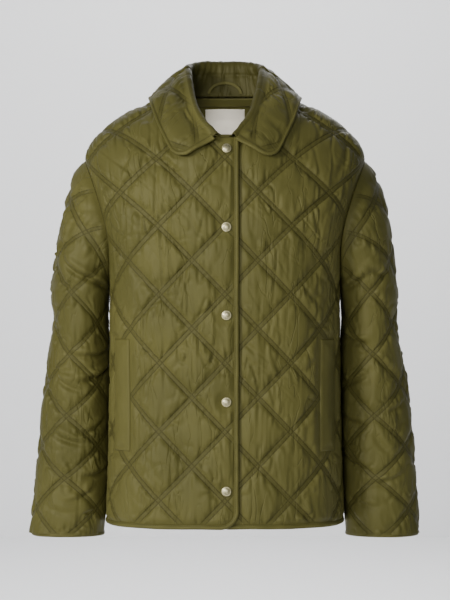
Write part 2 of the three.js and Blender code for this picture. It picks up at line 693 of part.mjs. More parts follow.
// Snap caps: low domed press-stud caps on the upper front
function snapCap(h) {
  const { radius, rise } = SNAP;
  const profile = [[0, 0], [0.9, 0], [1, 0.25], [0.95, 0.55], [0.8, 0.75], [0.45, 0.95], [0, 1]]
    .map(([r, z]) => new THREE.Vector2(r * radius, z * rise));
  const geometry = new THREE.LatheGeometry(profile, 16);
  geometry.rotateX(Math.PI / 2);
  const foot = onUpperFront(SNAP.u, h, WALL + SEAM_GAP);
  const tip = onUpperFront(SNAP.u, h, WALL + 10);
  const turn = new THREE.Quaternion().setFromUnitVectors(
    new THREE.Vector3(0, 0, 1),
    tip.clone().sub(foot).normalize(),
  );
  geometry.applyQuaternion(turn).translate(foot.x, foot.y, foot.z);
  return geometry;
}
SNAP.heights.forEach((h, i) => addPiece(`snap_${i + 1}`, snapCap(h), snapMetal));

// Collar: a stand that leans in from the neck seam, a soft roll, and a fall that lies on the shoulders
const COLLAR_WALL = 2.4;
const COLLAR_PUFF = 3;
const ROLL_RADIUS = { back: 7, front: 4 };
const collarRows = [
  { at: 0, neck: 0, rollX: 0, rollY: 60, rollZ: 64, edgeX: 0, edgeY: 98, edgeZ: -14 },
  { at: 0.15, neck: 0.15, rollX: 27, rollY: 55, rollZ: 64, edgeX: 52, edgeY: 90, edgeZ: -10 },
  { at: 0.3, neck: 0.32, rollX: 47, rollY: 38, rollZ: 59, edgeX: 91, edgeY: 64, edgeZ: -5 },
  { at: 0.45, neck: 0.48, rollX: 52, rollY: 12, rollZ: 51, edgeX: 112, edgeY: 12, edgeZ: 1 },
  { at: 0.6, neck: 0.62, rollX: 50, rollY: -24, rollZ: 33, edgeX: 111, edgeY: -47, edgeZ: -9 },
  { at: 0.75, neck: 0.76, rollX: 43, rollY: -62, rollZ: 0, edgeX: 99, edgeY: -87, edgeZ: -43 },
  { at: 0.88, neck: 0.88, rollX: 31, rollY: -96, rollZ: -33, edgeX: 81, edgeY: -110, edgeZ: -80 },
  { at: 1, neck: 0.985, rollX: 8, rollY: -122, rollZ: -62, edgeX: 70, edgeY: -124, edgeZ: -102 },
];
const collarAt = Object.fromEntries(Object.keys(collarRows[0]).slice(1).map((column) => (
  [column, tableCurve(collarRows, 'at', column)])));

// The neck seam from the centre back (0) to the centre front (1)
function neckSeam(at, side) {
  const isBack = at < 0.5;
  const [u, h] = besideNeck(isBack ? at * 2 : (1 - at) * 2, isBack, -1.3);
  const lift = !isBack && side < 0 ? lapLift(-u) : 0;
  return onBody(isBack ? 2 * QUARTER - u : u, h, WALL / 2 + lift);
}

// The collar's section at one place along it: seam, stand, roll, fall and outer edge
function collarSection(at) {
  const side = Math.sign(at) || 1;
  const k = Math.abs(at);
  const seam = neckSeam(collarAt.neck(k), side);
  const roll = new THREE.Vector3(collarAt.rollX(k), collarAt.rollY(k), collarAt.rollZ(k));
  const edge = new THREE.Vector3(collarAt.edgeX(k), collarAt.edgeY(k), collarAt.edgeZ(k));
  const outward = edge.clone().sub(seam).normalize();
  const [up, forward] = [new THREE.Vector3(0, 0, 1), new THREE.Vector3(0, -0.8, 0.5)];
  const lifted = up.lerp(forward, smooth(k, 0.55, 1)).normalize();
  const radius = mix(ROLL_RADIUS.back, ROLL_RADIUS.front, smooth(k, 0.8, 1));
  const bulge = edge.clone().sub(roll).length() * 0.02;
  const points = [
    seam,
    seam.clone().lerp(roll, 0.5).addScaledVector(outward, 1),
    roll.clone().addScaledVector(lifted, -radius),
    roll.clone().addScaledVector(outward, radius * 0.6),
    roll.clone().addScaledVector(outward, radius * 2).addScaledVector(lifted, -radius),
    roll.clone().lerp(edge, 0.55).addScaledVector(lifted, bulge),
    edge,
  ];
  // The end on the upper front stands off as far as that front does
  const overLap = side < 0 ? LAP_LIFT * smooth(k, 0.7, 0.95) : 0;
  points.slice(1).forEach((p) => p.setY(p.y - overLap));
  points.forEach((p) => p.setX(p.x * side));
  return new THREE.CatmullRomCurve3(points, false, 'centripetal');
}
const COLLAR_HALF = 235; // cloth from the centre back to one front end
const STAND = 60; // rows of the stand, up to the roll, and of the fall, from the roll to the edge
const FALL = 90;
const CLUB_RADIUS = 30;
const CURVE_STEPS = 120;
const collarCache = new Map();
function collarLine(at) {
  const key = at.toFixed(4);
  if (!collarCache.has(key)) {
    const curve = collarSection(at);
    const lengths = curve.getLengths(CURVE_STEPS);
    collarCache.set(key, { curve, roll: lengths[CURVE_STEPS / 2], length: lengths[CURVE_STEPS] });
  }
  return collarCache.get(key);
}
function collarPoint(c, r) {
  const { curve, roll, length } = collarLine(clamp(c / COLLAR_HALF, -1, 1));
  const reach = r < STAND ? roll * r / STAND : mix(roll, length, (r - STAND) / FALL);
  return curve.getPointAt(clamp(reach / length, 0, 1));
}
function onCollar(c, r, w) {
  const step = 3;
  const ca = clamp(c, -COLLAR_HALF + step, COLLAR_HALF - step);
  const ra = clamp(r, step, STAND + FALL - step);
  const along = collarPoint(ca + step, ra).sub(collarPoint(ca - step, ra));
  const up = collarPoint(ca, ra + step).sub(collarPoint(ca, ra - step));
  const out = along.cross(up).normalize();
  return collarPoint(c, r).addScaledVector(out, w);
}

const collarLattice = { ...DIAMOND, phase: [0, STAND], cells: [5, 10] };

// The collar's outer edge, taken in all round: from one front end, round the club corners, to the other
function collarEdge(inset) {
  const [end, top] = [COLLAR_HALF - inset, STAND + FALL - inset];
  const radius = CLUB_RADIUS - inset;
  const half = [
    ...steps(5, (t) => ({ u: end, h: mix(STAND + 8, top - radius, t), out: [1, 0] })),
    ...steps(6, (t) => {
      const out = [Math.cos(t * Math.PI / 2), Math.sin(t * Math.PI / 2)];
      return { u: end - radius * (1 - out[0]), h: top - radius * (1 - out[1]), out };
    }).slice(1),
    ...steps(15, (t) => ({ u: mix(end - radius, 0, t), h: top, out: [0, 1] })).slice(1),
  ];
  const other = half.slice(0, -1).reverse().map(({ u, h, out }) => ({ u: -u, h, out: [-out[0], out[1]] }));
  return [...half, ...other];
}
const collarBound = BOUND + 0.4;
const collarEnd = COLLAR_HALF - collarBound;
const collarCut = [[-collarEnd, 0], [collarEnd, 0], ...collarEdge(collarBound).map(({ u, h }) => [u, h])];
const collarFade = edgeFade(collarCut);
// The stand is plain, and the quilting begins beyond the roll
const fallFade = (r) => smooth(r, STAND + 4, STAND + 30);
const collarFlat = slab({
  u: [-COLLAR_HALF, COLLAR_HALF],
  h: [0, STAND + FALL],
  relief: (c, r) => quilting(collarLattice, c, r) * collarFade(c, r) * fallFade(r),
  lattice: collarLattice,
  puff: COLLAR_PUFF,
  wall: COLLAR_WALL,
}).intersect(prism(collarCut));
addPiece('collar', laidOn(collarFlat, onCollar), quiltedCloth);

addPiece('collar_binding', tape(collarEdge(BINDING.width), onCollar), bindingCloth);

// Inside the back neck: a facing under the seam, the blank label below it and the hanger loop above
const FACING = { width: 15, ends: 0.74, thick: 1 };
const LABEL = { width: 60, height: 42, thick: 0.8, below: 3 };
const neckRow = (t, inset) => {
  const [u, h] = besideNeck(Math.abs(t), true, inset);
  return [2 * QUARTER + Math.sign(t) * u, h];
};
const facingOutline = [
  ...steps(24, (t) => neckRow(mix(FACING.ends, -FACING.ends, t), 1)),
  ...steps(24, (t) => neckRow(mix(-FACING.ends, FACING.ends, t), 1 + FACING.width)),
];
const neckLowH = neckline(0, true)[1];
const labelTop = neckLowH - 1 - FACING.width - LABEL.below;
const labelOutline = [[-0.5, -1], [0.5, -1], [0.5, 0], [-0.5, 0]].map(([across, up]) => (
  [2 * QUARTER + across * LABEL.width, labelTop + up * LABEL.height]));
function insideBack(outline, thick) {
  const u = [2 * QUARTER - 120, 2 * QUARTER + 120];
  const h = [neckLowH - 110, clothTop];
  const flat = slab({ u, h, lattice: backLattice, base: -SEAM_GAP - thick, wall: thick });
  return laidOn(flat.intersect(prism(outline)), onBack);
}
addPiece('back_neck_facing', insideBack(facingOutline, FACING.thick), bindingCloth);
addPiece('neck_label', insideBack(labelOutline, LABEL.thick), labelCloth);

const LOOP = { reach: 26, rise: 19, width: 5, thick: 1.2, foot: 4 };
const loopRings = steps(16, (t) => {
  const angle = t * Math.PI;
  const across = [-Math.cos(angle), Math.sin(angle)];
  return [[-0.5, 0], [0.5, 0], [0.5, 1], [-0.5, 1]].map(([side, through]) => onCollar(
    across[0] * (LOOP.reach + side * LOOP.width),
    LOOP.foot + across[1] * (LOOP.rise + side * LOOP.width),
    COLLAR_WALL + SEAM_GAP + 0.3 + through * LOOP.thick,
  ));
});
addPiece('hanger_loop', ringSolid(loopRings, false), bindingCloth);

export default jacket;
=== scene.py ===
# A diamond-quilted jacket in olive nylon, filled out as worn: club collar, bound edges, snap
# front, welt pockets and a blank neck label. Cloth is laid out in millimetres, meshes in metres.
import math

import bpy
import numpy as np
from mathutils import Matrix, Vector


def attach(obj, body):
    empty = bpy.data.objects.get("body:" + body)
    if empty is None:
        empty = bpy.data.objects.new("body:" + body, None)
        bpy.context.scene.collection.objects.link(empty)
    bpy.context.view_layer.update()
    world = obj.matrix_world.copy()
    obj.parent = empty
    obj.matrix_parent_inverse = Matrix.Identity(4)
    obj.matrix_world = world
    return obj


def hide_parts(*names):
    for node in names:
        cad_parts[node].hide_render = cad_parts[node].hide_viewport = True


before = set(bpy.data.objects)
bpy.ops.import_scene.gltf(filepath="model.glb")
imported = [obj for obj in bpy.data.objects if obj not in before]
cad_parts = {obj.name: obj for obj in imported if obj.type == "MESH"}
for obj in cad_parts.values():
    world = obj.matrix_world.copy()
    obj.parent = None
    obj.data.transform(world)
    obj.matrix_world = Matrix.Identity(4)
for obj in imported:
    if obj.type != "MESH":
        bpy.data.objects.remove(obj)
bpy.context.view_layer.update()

# The studio. A long lens stands level with the middle of the jacket, with a pale wall behind
# it and a pale floor below. A large soft lamp stands to the viewer's left, and a narrow one
# reaches into the neck.
CAMERA_AWAY = 3.2
CAMERA_HEIGHT = -0.3
LENS = 128
WALL_GREY = (0.8, 0.8, 0.805, 1)


def look_at(thing, target):
    aim = Vector(target) - thing.location
    thing.rotation_euler = aim.to_track_quat("-Z", "Y").to_euler()


def place_lamp(lamp, place, target, watts):
    lamp.energy = watts
    light = bpy.data.objects.new(lamp.name, lamp)
    bpy.context.scene.collection.objects.link(light)
    light.location = place
    look_at(light, target)


def soft_light(name, place, target, size, watts):
    lamp = bpy.data.lights.new(name, "AREA")
    lamp.shape = "DISK"
    lamp.size = size
    place_lamp(lamp, place, target, watts)


def narrow_light(name, place, target, degrees, watts):
    lamp = bpy.data.lights.new(name, "SPOT")
    lamp.spot_size = math.radians(degrees)
    lamp.spot_blend = 0.6
    lamp.shadow_soft_size = 0.03
    place_lamp(lamp, place, target, watts)


camera = bpy.data.objects.new("camera", bpy.data.cameras.new("camera"))
bpy.context.scene.collection.objects.link(camera)
camera.location = (0, -CAMERA_AWAY, CAMERA_HEIGHT)
look_at(camera, (0, 0, CAMERA_HEIGHT))
camera.data.sensor_fit = "VERTICAL"
camera.data.sensor_height = 36
camera.data.lens = LENS
camera.data.clip_end = 50
bpy.context.scene.camera = camera

soft_light("key", (-2.1, -2.2, 0.55), (0, 0, -0.25), 0.7, 68)
soft_light("front", (-0.7, -3.5, 0.15), (0, 0, -0.2), 0.9, 46)
narrow_light("label snoot", (-0.1, -2.6, 0.3), (0, 0.08, -0.04), 2.1, 260)
soft_light("back", (0.8, 2.4, 1.2), (0, 0, -0.3), 1.6, 14)
soft_light("wall", (0, 1.6, 1.6), (0, 3.4, -0.4), 2.5, 141)

world = bpy.data.worlds.new("studio")
bpy.context.scene.world = world
world.use_nodes = True
world.node_tree.nodes["Background"].inputs["Color"].default_value = (0.9, 0.95, 1, 1)
world.node_tree.nodes["Background"].inputs["Strength"].default_value = 0.23

studio_grey = bpy.data.materials.new("studio_grey")
studio_grey.use_nodes = True
studio_shader = studio_grey.node_tree.nodes["Principled BSDF"]
studio_shader.inputs["Base Color"].default_value = WALL_GREY
studio_shader.inputs["Roughness"].default_value = 0.9
for name, corners in (
    ("floor", [(-6, -6, -1.1), (6, -6, -1.1), (6, 4, -1.1), (-6, 4, -1.1)]),
    ("wall", [(-6, 4, -1.1), (6, 4, -1.1), (6, 4, 4), (-6, 4, 4)]),
):
    plane = bpy.data.meshes.new(name)
    plane.from_pydata(corners, [], [(0, 1, 2, 3)])
    plane.materials.append(studio_grey)
    studio_piece = bpy.data.objects.new(name, plane)
    bpy.context.scene.collection.objects.link(studio_piece)


# The cloth. Thin olive nylon on both faces of a light wadding, sewn in diamonds by paired
# rows of matching thread. The finish has a soft sheen, a fine weave and darker stitches, with
# painted shade in the channels, along the seams and over the collar stand.
class Wire:
    """One socket of a material. Arithmetic on it adds Math nodes, and node() adds any other."""

    def __init__(self, tree, socket=None):
        self.tree = tree
        self.socket = socket

    def node(self, kind, settings=None, values=None, output=0):
        made = self.tree.nodes.new(kind)
        for setting, value in (settings or {}).items():
            setattr(made, setting, value)
        for place, value in (values or {}).items():
            if isinstance(value, Wire):
                self.tree.links.new(value.socket, made.inputs[place])
            else:
                made.inputs[place].default_value = value
        return Wire(self.tree, made.outputs[output])

    def math(self, operation, *values):
        return self.node("ShaderNodeMath", {"operation": operation}, dict(enumerate(values)))

    def __add__(self, other):
        return self.math("ADD", self, other)

    def __radd__(self, other):
        return self.math("ADD", other, self)

    def __sub__(self, other):
        return self.math("SUBTRACT", self, other)

    def __rsub__(self, other):
        return self.math("SUBTRACT", other, self)

    def __mul__(self, other):
        return self.math("MULTIPLY", self, other)

    def __rmul__(self, other):
        return self.math("MULTIPLY", other, self)

    def __abs__(self):
        return self.math("ABSOLUTE", self)

    def fraction(self):
        return self.math("FRACT", self)

    def to_and_fro(self, span):
        return self.math("PINGPONG", self, span)

    def larger(self, other):
        return self.math("MAXIMUM", self, other)

    def band(self, low, high):
        """0 below low, 1 above high, and a smooth step between them."""
        settings = {"interpolation_type": "SMOOTHSTEP"}
        return self.node("ShaderNodeMapRange", settings, {0: self, 1: low, 2: high, 3: 0.0, 4: 1.0})

    def mixed(self, first, second):
        """The first colour where this is 0, and the second where it is 1."""
        return self.node("ShaderNodeMix", {"data_type": "RGBA"}, {0: self, 6: first, 7: second}, 2)

    def part(self, k):
        return self.node("ShaderNodeSeparateXYZ", values={0: self}, output=k)


def principled(name, settings):
    material = bpy.data.materials.new(name)
    material.use_nodes = True
    shader = material.node_tree.nodes["Principled BSDF"]
    for socket, value in settings.items():
        shader.inputs[socket].default_value = value
    return material, Wire(material.node_tree), shader


def feed(material, shader, socket, wire):
    material.node_tree.links.new(wire.socket, shader.inputs[socket])


def feed_bump(material, shader, height, strength, distance):
    values = {"Strength": strength, "Distance": distance, "Height": height}
    feed(material, shader, "Normal", height.node("ShaderNodeBump", values=values))


def object_place(wire):
    return wire.node("ShaderNodeTexCoord", output="Object")


def specks(place, scale, detail, distortion=0.0):
    values = {"Vector": place, "Scale": scale, "Detail": detail, "Distortion": distortion}
    return place.node("ShaderNodeTexNoise", values=values)


DIAMOND = (95.0, 99.0)
SLEEVE_DIAMOND = (95.0, 92.0)
LINE_SPACING = 68.5  # between neighbouring parallel channels
CHANNEL = 2.9  # half the distance between the two rows of stitches of a channel
STITCH_LENGTH = 3.2
NYLON = {
    "deep": (0.088, 0.081, 0.0215, 1),
    "bright": (0.112, 0.102, 0.028, 1),
    # the thread's colour, also used for the painted shade of the channels, seams and collar stand
    "thread_and_shade": (0.05, 0.045, 0.011, 1),
}
NYLON_SHADER = {
    "Roughness": 0.5,
    "Specular IOR Level": 0.22,
    "Specular Tint": (0.9, 0.86, 0.6, 1),
    "Sheen Weight": 0.02,
    "Sheen Roughness": 0.4,
    "Sheen Tint": (0.75, 0.7, 0.42, 1),
}


def from_channel(line):
    """How far a point lies from the middle of the nearest channel, in millimetres."""
    return abs((line + 0.5).fraction() - 0.5) * LINE_SPACING


def stitch_row(line, along):
    away = abs(from_channel(line) - CHANNEL)
    dash = (along * (LINE_SPACING / STITCH_LENGTH)).to_and_fro(0.5)
    return (1 - away.band(0.35, 1.0)) * (0.5 + dash.band(0.1, 0.22) * 0.5)


def in_channel(line):
    """1 in a channel, where the cloth is drawn down and puckered, and 0 on the wadding. It places the
    painted shade of the channels.
    """
    return 1 - from_channel(line).band(CHANNEL - 0.3, CHANNEL + 1.4)


def upright_wrinkles(rising, falling):
    """The finest wrinkles of the face cloth, which run mostly up and down."""
    across = (rising + falling) * (DIAMOND[0] / 2)
    up = (rising - falling) * (DIAMOND[1] / 2)
    narrow = {"X": across * (1 / 5), "Y": up * (1 / 38), "Z": 0.0}
    wide = {"X": across * (1 / 13), "Y": up * (1 / 60), "Z": 4.0}
    place = rising.node("ShaderNodeCombineXYZ", values=narrow)
    slower = rising.node("ShaderNodeCombineXYZ", values=wide)
    threads = specks(place, 1.0, 3.0)
    waves = specks(slower, 1.0, 1.0, 0.4)
    patches = specks(place, 0.17, 1.0)
    folds = (1 - abs(waves - 0.5).band(0.0, 0.035)) * patches.band(0.45, 0.6)
    return threads * 0.8 - folds * 1.3


def cloth_finish(name, is_quilted):
    material, wire, shader = principled(name, NYLON_SHADER)
    place = object_place(wire)
    cloudy = specks(place, 9.0, 3.0)
    weave = specks(place, 1500.0, 1.0)
    colour = cloudy.band(0.3, 0.7).mixed(NYLON["deep"], NYLON["bright"])
    height = weave * 0.04
    if is_quilted:
        quilt = wire.node("ShaderNodeAttribute", {"attribute_name": "quilt"}, output="Vector")
        rising, falling, sewn = [quilt.part(k) for k in (0, 1, 2)]
        stitches = stitch_row(rising, falling).larger(stitch_row(falling, rising)) * sewn
        # Painted shade: each channel is mixed 0.4 of the way to the dark thread colour, as shade in its
        # recess.
        channel_shade = in_channel(rising).larger(in_channel(falling)) * sewn
        # Painted shade: the dark colour along sewn edges and seams, and over the whole collar stand,
        # where the quilt's third part is 0.
        seam = 1 - sewn.band(0.004, 0.05)
        for share in (channel_shade * 0.4, stitches, seam * 0.75):
            colour = share.mixed(colour, NYLON["thread_and_shade"])
        height = height - stitches * 0.5 + upright_wrinkles(rising, falling)
    feed(material, shader, "Base Color", colour)
    feed(material, shader, "Roughness", 0.46 + cloudy * 0.1)
    feed_bump(material, shader, height, 0.5, 0.0009)
    return material


quilted_nylon = cloth_finish("quilted_nylon", True)


# The body of the jacket, as a form to lay cloth on. u runs round it from the centre front,
# h runs up the cloth from the hem, and w is the way out through the cloth.
HEM_Z = -630.0
SECTION_POWER = 3.0
HALF_WIDTH, FRONT_DEPTH, BACK_DEPTH = 167.0, 126.0, 114.0
SHOULDER_FROM, RIDGE_Y, SHOULDER_POWER = -205.0, 6.0, 2.15
# z, wider, deeper
BODY_ROWS = [
    (-660, 7, 8),
    (-560, 3, 5),
    (-430, 0, 1),
    (-300, 0, 0),
    (-250, 4, 0),
    (-200, 15, 0),
    (-150, 30, 0),
    (-100, 43, 0),
    (-60, 49, 0),
]
# share of the half width, z of the shoulder ridge
RIDGE_ROWS = [
    (0, 32),
    (0.25, 24),
    (0.44, 8),
    (0.645, -9.5),
    (0.77, -22),
    (0.89, -45),
    (0.96, -69),
    (1, -95),
]


def table_curve(rows, column=1):
    """A smooth curve through one column of a table, read by its first column."""
    keys = np.array([row[0] for row in rows], float)
    values = np.array([row[column] for row in rows], float)
    before = np.maximum(np.arange(len(keys)) - 1, 0)
    after = np.minimum(np.arange(len(keys)) + 1, len(keys) - 1)
    slopes = (values[after] - values[before]) / (keys[after] - keys[before])

    def curve(at):
        at = np.clip(at, keys[0], keys[-1])
        i = np.clip(np.searchsorted(keys, at) - 1, 0, len(keys) - 2)
        span = keys[i + 1] - keys[i]
        t = (at - keys[i]) / span
        start = (2 * t**3 - 3 * t**2 + 1) * values[i] + (t**3 - 2 * t**2 + t) * span * slopes[i]
        return start + (3 * t**2 - 2 * t**3) * values[i + 1] + (t**3 - t**2) * span * slopes[i + 1]

    return curve


def smooth(value, low, high):
    t = np.clip((value - low) / (high - low), 0, 1)
    return t * t * (3 - 2 * t)


def mix(a, b, t):
    return a + (b - a) * t


widen = table_curve(BODY_ROWS, 1)
deepen = table_curve(BODY_ROWS, 2)
ridge = table_curve(RIDGE_ROWS)

turn = np.linspace(0, math.pi / 2, 2001)
section_side = np.sin(turn) ** (2 / SECTION_POWER)
section_depth = np.maximum(np.cos(turn), 0) ** (2 / SECTION_POWER)
middle_depth = (FRONT_DEPTH + BACK_DEPTH) / 2
section_step = np.hypot(np.diff(section_side) * HALF_WIDTH, np.diff(section_depth) * middle_depth)
section_length = np.concatenate([[0], np.cumsum(section_step)])
QUARTER = section_length[-1]


def body_at_z(side, depth, is_back, z):
    x = side * HALF_WIDTH + widen(z) * side**4
    out = depth * (np.where(is_back, BACK_DEPTH, FRONT_DEPTH) + deepen(z))
    rise = np.clip((z - SHOULDER_FROM) / (ridge(side) - SHOULDER_FROM), 0, 1)
    keep = (1 - rise**SHOULDER_POWER) ** (1 / SHOULDER_POWER)
    y = RIDGE_Y * (1 - keep) + np.where(is_back, out, -out) * keep
    return np.stack([x, y, z + 0 * x], -1)


LINE_STEPS = 90
SIDE_SWELL, SIDE_SWELL_TOP = 2.1, 350
SHARES = np.linspace(0, 1, 201)
share_side = np.interp(SHARES * QUARTER, section_length, section_side)
share_depth = np.interp(SHARES * QUARTER, section_length, section_depth)


def upright_lengths(is_back):
    sweep = np.sin(np.linspace(0, 1, LINE_STEPS + 1) * math.pi / 2)
    z = SHOULDER_FROM + (ridge(share_side)[:, None] - SHOULDER_FROM) * sweep[None, :]
    points = body_at_z(share_side[:, None], share_depth[:, None], is_back, z)
    steps = np.linalg.norm(np.diff(points[:, :, 1:], axis=1), axis=2)
    return SHOULDER_FROM - HEM_Z + np.concatenate([np.zeros((201, 1)), np.cumsum(steps, axis=1)], axis=1)


LENGTHS = np.stack([upright_lengths(False), upright_lengths(True)])


def quarter_of(u):
    """Which quarter of the body holds u: its back or front, the share of the way round, its side."""
    turns_on = np.mod(u / QUARTER + 2, 4) - 2
    share = np.abs(turns_on)
    is_back = share > 1
    return is_back, np.where(is_back, 2 - share, share), np.where(turns_on < 0, -1.0, 1.0)


def line_lengths(is_back, share):
    at = np.clip(share, 0, 1) * 200
    k = np.minimum(at.astype(int), 199)
    part = (at - k)[..., None]
    which = is_back.astype(int)
    return LENGTHS[which, k] * (1 - part) + LENGTHS[which, k + 1] * part


def ridge_h(u):
    is_back, share, _ = quarter_of(np.asarray(u, float))
    return line_lengths(is_back, share)[..., -1]


def body_point(u, h):
    is_back, share, sign = quarter_of(u)
    side = np.interp(share * QUARTER, section_length, section_side)
    depth = np.interp(share * QUARTER, section_length, section_depth)
    lengths = line_lengths(is_back, share)
    i = np.clip((lengths < h[:, None]).sum(axis=1) - 1, 0, LINE_STEPS - 1)
    rows = np.arange(len(h))
    low, high = lengths[rows, i], lengths[rows, i + 1]
    sweep = np.clip((i + (h - low) / (high - low)) / LINE_STEPS, 0, 1)
    above = SHOULDER_FROM + (ridge(side) - SHOULDER_FROM) * np.sin(sweep * math.pi / 2)
    z = np.where(h <= lengths[:, 0], HEM_Z + h, above)
    points = body_at_z(side, depth, is_back, z)
    points[:, 0] *= sign
    return points


def with_normal(surface, step=2.0):
    """Lays cloth on a surface: its point, moved out along the surface's normal by w."""

    def laid(u, h, w):
        along = surface(u + step, h) - surface(u - step, h)
        up = surface(u, h + step) - surface(u, h - step)
        out = np.cross(along, up)
        out /= np.maximum(np.linalg.norm(out, axis=1), 1e-9)[:, None]
        return surface(u, h) + out * np.asarray(w)[..., None]

    return laid


def noise(x, y, seed):
    """Smooth noise from -1 to 1, with one random value at each whole x and y."""
    values = np.random.RandomState(seed).uniform(-1, 1, (64, 64))
    x, y = np.asarray(x) + 32.0, np.asarray(y) + 32.0
    i, j = np.floor(x).astype(int), np.floor(y).astype(int)
    s, t = smooth(x - i, 0, 1), smooth(y - j, 0, 1)
    corners = [values[(i + di) % 64, (j + dj) % 64] for di, dj in ((0, 0), (1, 0), (0, 1), (1, 1))]
    return mix(mix(corners[0], corners[1], s), mix(corners[2], corners[3], s), t)


def drape(u, h):
    """The slow swell of the body's cloth, which dies away at the shoulders and sides. The sides
    stand out a little, to where the sleeves hang."""
    is_back, share, _ = quarter_of(u)
    side = (1 - share) * QUARTER
    calm = smooth(ridge_h(u) - h, 20, 160) * smooth(side, 8, 90)
    beside = SIDE_SWELL * (1 - smooth(side, 0, 60)) * smooth(SIDE_SWELL_TOP - h, 0, 60)
    return beside + calm * (2.6 * noise(u / 105, h / 190, 3) + 1.3 * noise(u / 48, h / 120, 4))


body_form = with_normal(body_point)


def on_body(u, h, w):
    return body_form(u, h, w + drape(u, h))


# The front panels. Each is cut from the quilted cloth, with its edge and hem bound, and the
# wearer's right one laps over the left. The wadding rises between the channels, and the thin
# face cloth puckers upright inside each diamond.
LAP, LAP_LIFT, HEM_CORNER = 20.0, 5.2, 26.0
NECK_HALF_WIDTH, NECK_POINT_Z = 76.0, 6.0
NECK_LOW = {False: -66.0, True: 8.0}
UNDERARM_H = -264 - HEM_Z
TIP_SHARE = 0.872
# place along the armhole, share of the quarter, drop from the shoulder
ARMHOLE_ROWS = [
    (0, 0.872, 0),
    (0.2, 0.795, 42),
    (0.42, 0.757, 92),
    (0.62, 0.775, 138),
    (0.8, 0.85, 172),
    (0.92, 0.93, 184),
    (1, 1, 186),
]
WALL = 2.2
RISE = 4.6
SEAM_DIP = 0.54
ARMHOLE_FROM_H = 360
CELL, BACK_CELL = 2.2, 2.7
BOUND_INSET = 3.0  # how far the cloth stops short of the outer edge of its binding
CROSSING_H = 41.0  # the first crossing of two channels above the hem, at the centre
armhole_share = table_curve(ARMHOLE_ROWS, 1)
armhole_drop = table_curve(ARMHOLE_ROWS, 2)


def armhole(at, is_back):
    share = np.full_like(at, TIP_SHARE)
    tip = line_lengths(np.full(at.shape, is_back), share)[:, -1]
    drop = armhole_drop(at) / ARMHOLE_ROWS[-1][2]
    return np.stack([armhole_share(at) * QUARTER, mix(tip, UNDERARM_H, drop)], -1)


def cloth_of(x, z, is_back):
    sides = share_side * HALF_WIDTH + widen(z) * share_side**4
    share = np.interp(x, sides, SHARES)
    side = np.interp(share, SHARES, share_side)
    lengths = line_lengths(np.array([is_back]), np.array([share]))[0]
    sweep = np.clip((z - SHOULDER_FROM) / (ridge(side) - SHOULDER_FROM), 0, 1)
    at = math.asin(sweep) / (math.pi / 2) * LINE_STEPS
    return [share * QUARTER, float(np.interp(at, np.arange(LINE_STEPS + 1), lengths))]


def neckline(is_back, count=60):
    """The neckline from the centre to the shoulder, in cloth coordinates from the half's centre."""
    rows = []
    for at in np.linspace(0, 1, count):
        low = NECK_LOW[is_back]
        curve = math.cos(at * math.pi / 2) ** (1.5 if is_back else 1)
        z = low + (NECK_POINT_Z - low) * (1 - curve)
        rows.append(cloth_of(NECK_HALF_WIDTH * math.sin(at * math.pi / 2), z, is_back))
    rows[-1][1] = float(line_lengths(np.array([is_back]), np.array([rows[-1][0] / QUARTER]))[0, -1])
    return np.array(rows)


def by_length(path, count):
    """The points of a path at equal steps of its length."""
    path = np.asarray(path, float)
    length = np.concatenate([[0], np.cumsum(np.linalg.norm(np.diff(path, axis=0), axis=1))])
    at = np.linspace(0, length[-1], count)
    return np.stack([np.interp(at, length, path[:, k]) for k in range(path.shape[1])], -1)


def path_length(path):
    return np.linalg.norm(np.diff(np.asarray(path, float), axis=0), axis=1).sum()


def patch(bottom, right, top, left, cell=CELL):
    """A grid of cloth points that fills the outline of four paths. Rows run from bottom to top."""
    columns = int(max(path_length(bottom), path_length(top)) / cell) + 1
    rows = int(max(path_length(left), path_length(right)) / cell) + 1
    b, t = by_length(bottom, columns)[None], by_length(top, columns)[None]
    l, r = by_length(left, rows)[:, None], by_length(right, rows)[:, None]
    s = np.linspace(0, 1, columns)[None, :, None]
    v = np.linspace(0, 1, rows)[:, None, None]
    low_corners = (1 - s) * (1 - v) * b[:, :1] + s * (1 - v) * b[:, -1:]
    high_corners = (1 - s) * v * t[:, :1] + s * v * t[:, -1:]
    return (1 - v) * b + v * t + (1 - s) * l + s * r - low_corners - high_corners


def from_path(points, path):
    """How far each point lies from a path."""
    near = np.full(len(points), 1e9)
    for a, b in zip(path[:-1], path[1:]):
        d = b - a
        t = np.clip(((points - a) @ d) / max(d @ d, 1e-9), 0, 1)
        near = np.minimum(near, np.linalg.norm(points - a - t[:, None] * d, axis=1))
    return near


def lattice(u, h, diamond, phase):
    rising = (u - phase[0]) / diamond[0] + (h - phase[1]) / diamond[1]
    falling = (u - phase[0]) / diamond[0] - (h - phase[1]) / diamond[1]
    return rising, falling


def from_line(at):
    return np.abs(np.mod(at + 0.5, 1) - 0.5) * LINE_SPACING


def swell(away):
    """The wadding's section beside one channel: low in it, pinched at the stitches, full beyond."""
    inside = 0.12 * np.cos(np.clip(away / CHANNEL, 0, 1) * math.pi / 2)
    past = np.maximum(away - CHANNEL, 0)
    beyond = 1 - 0.75 * np.exp(-past / 2.6) - 0.25 * np.exp(-past / 11)
    return np.where(away < CHANNEL, inside, beyond)


def folded(across, along, seed, width):
    """Sharp folds that follow the zero lines of a noise: a valley of the given width, with a lip."""
    value = noise(across, along, seed)
    lip = np.exp(-(((value - 2.0 * width) / (1.2 * width)) ** 2))
    return 0.65 * lip - np.exp(-((value / width) ** 2))


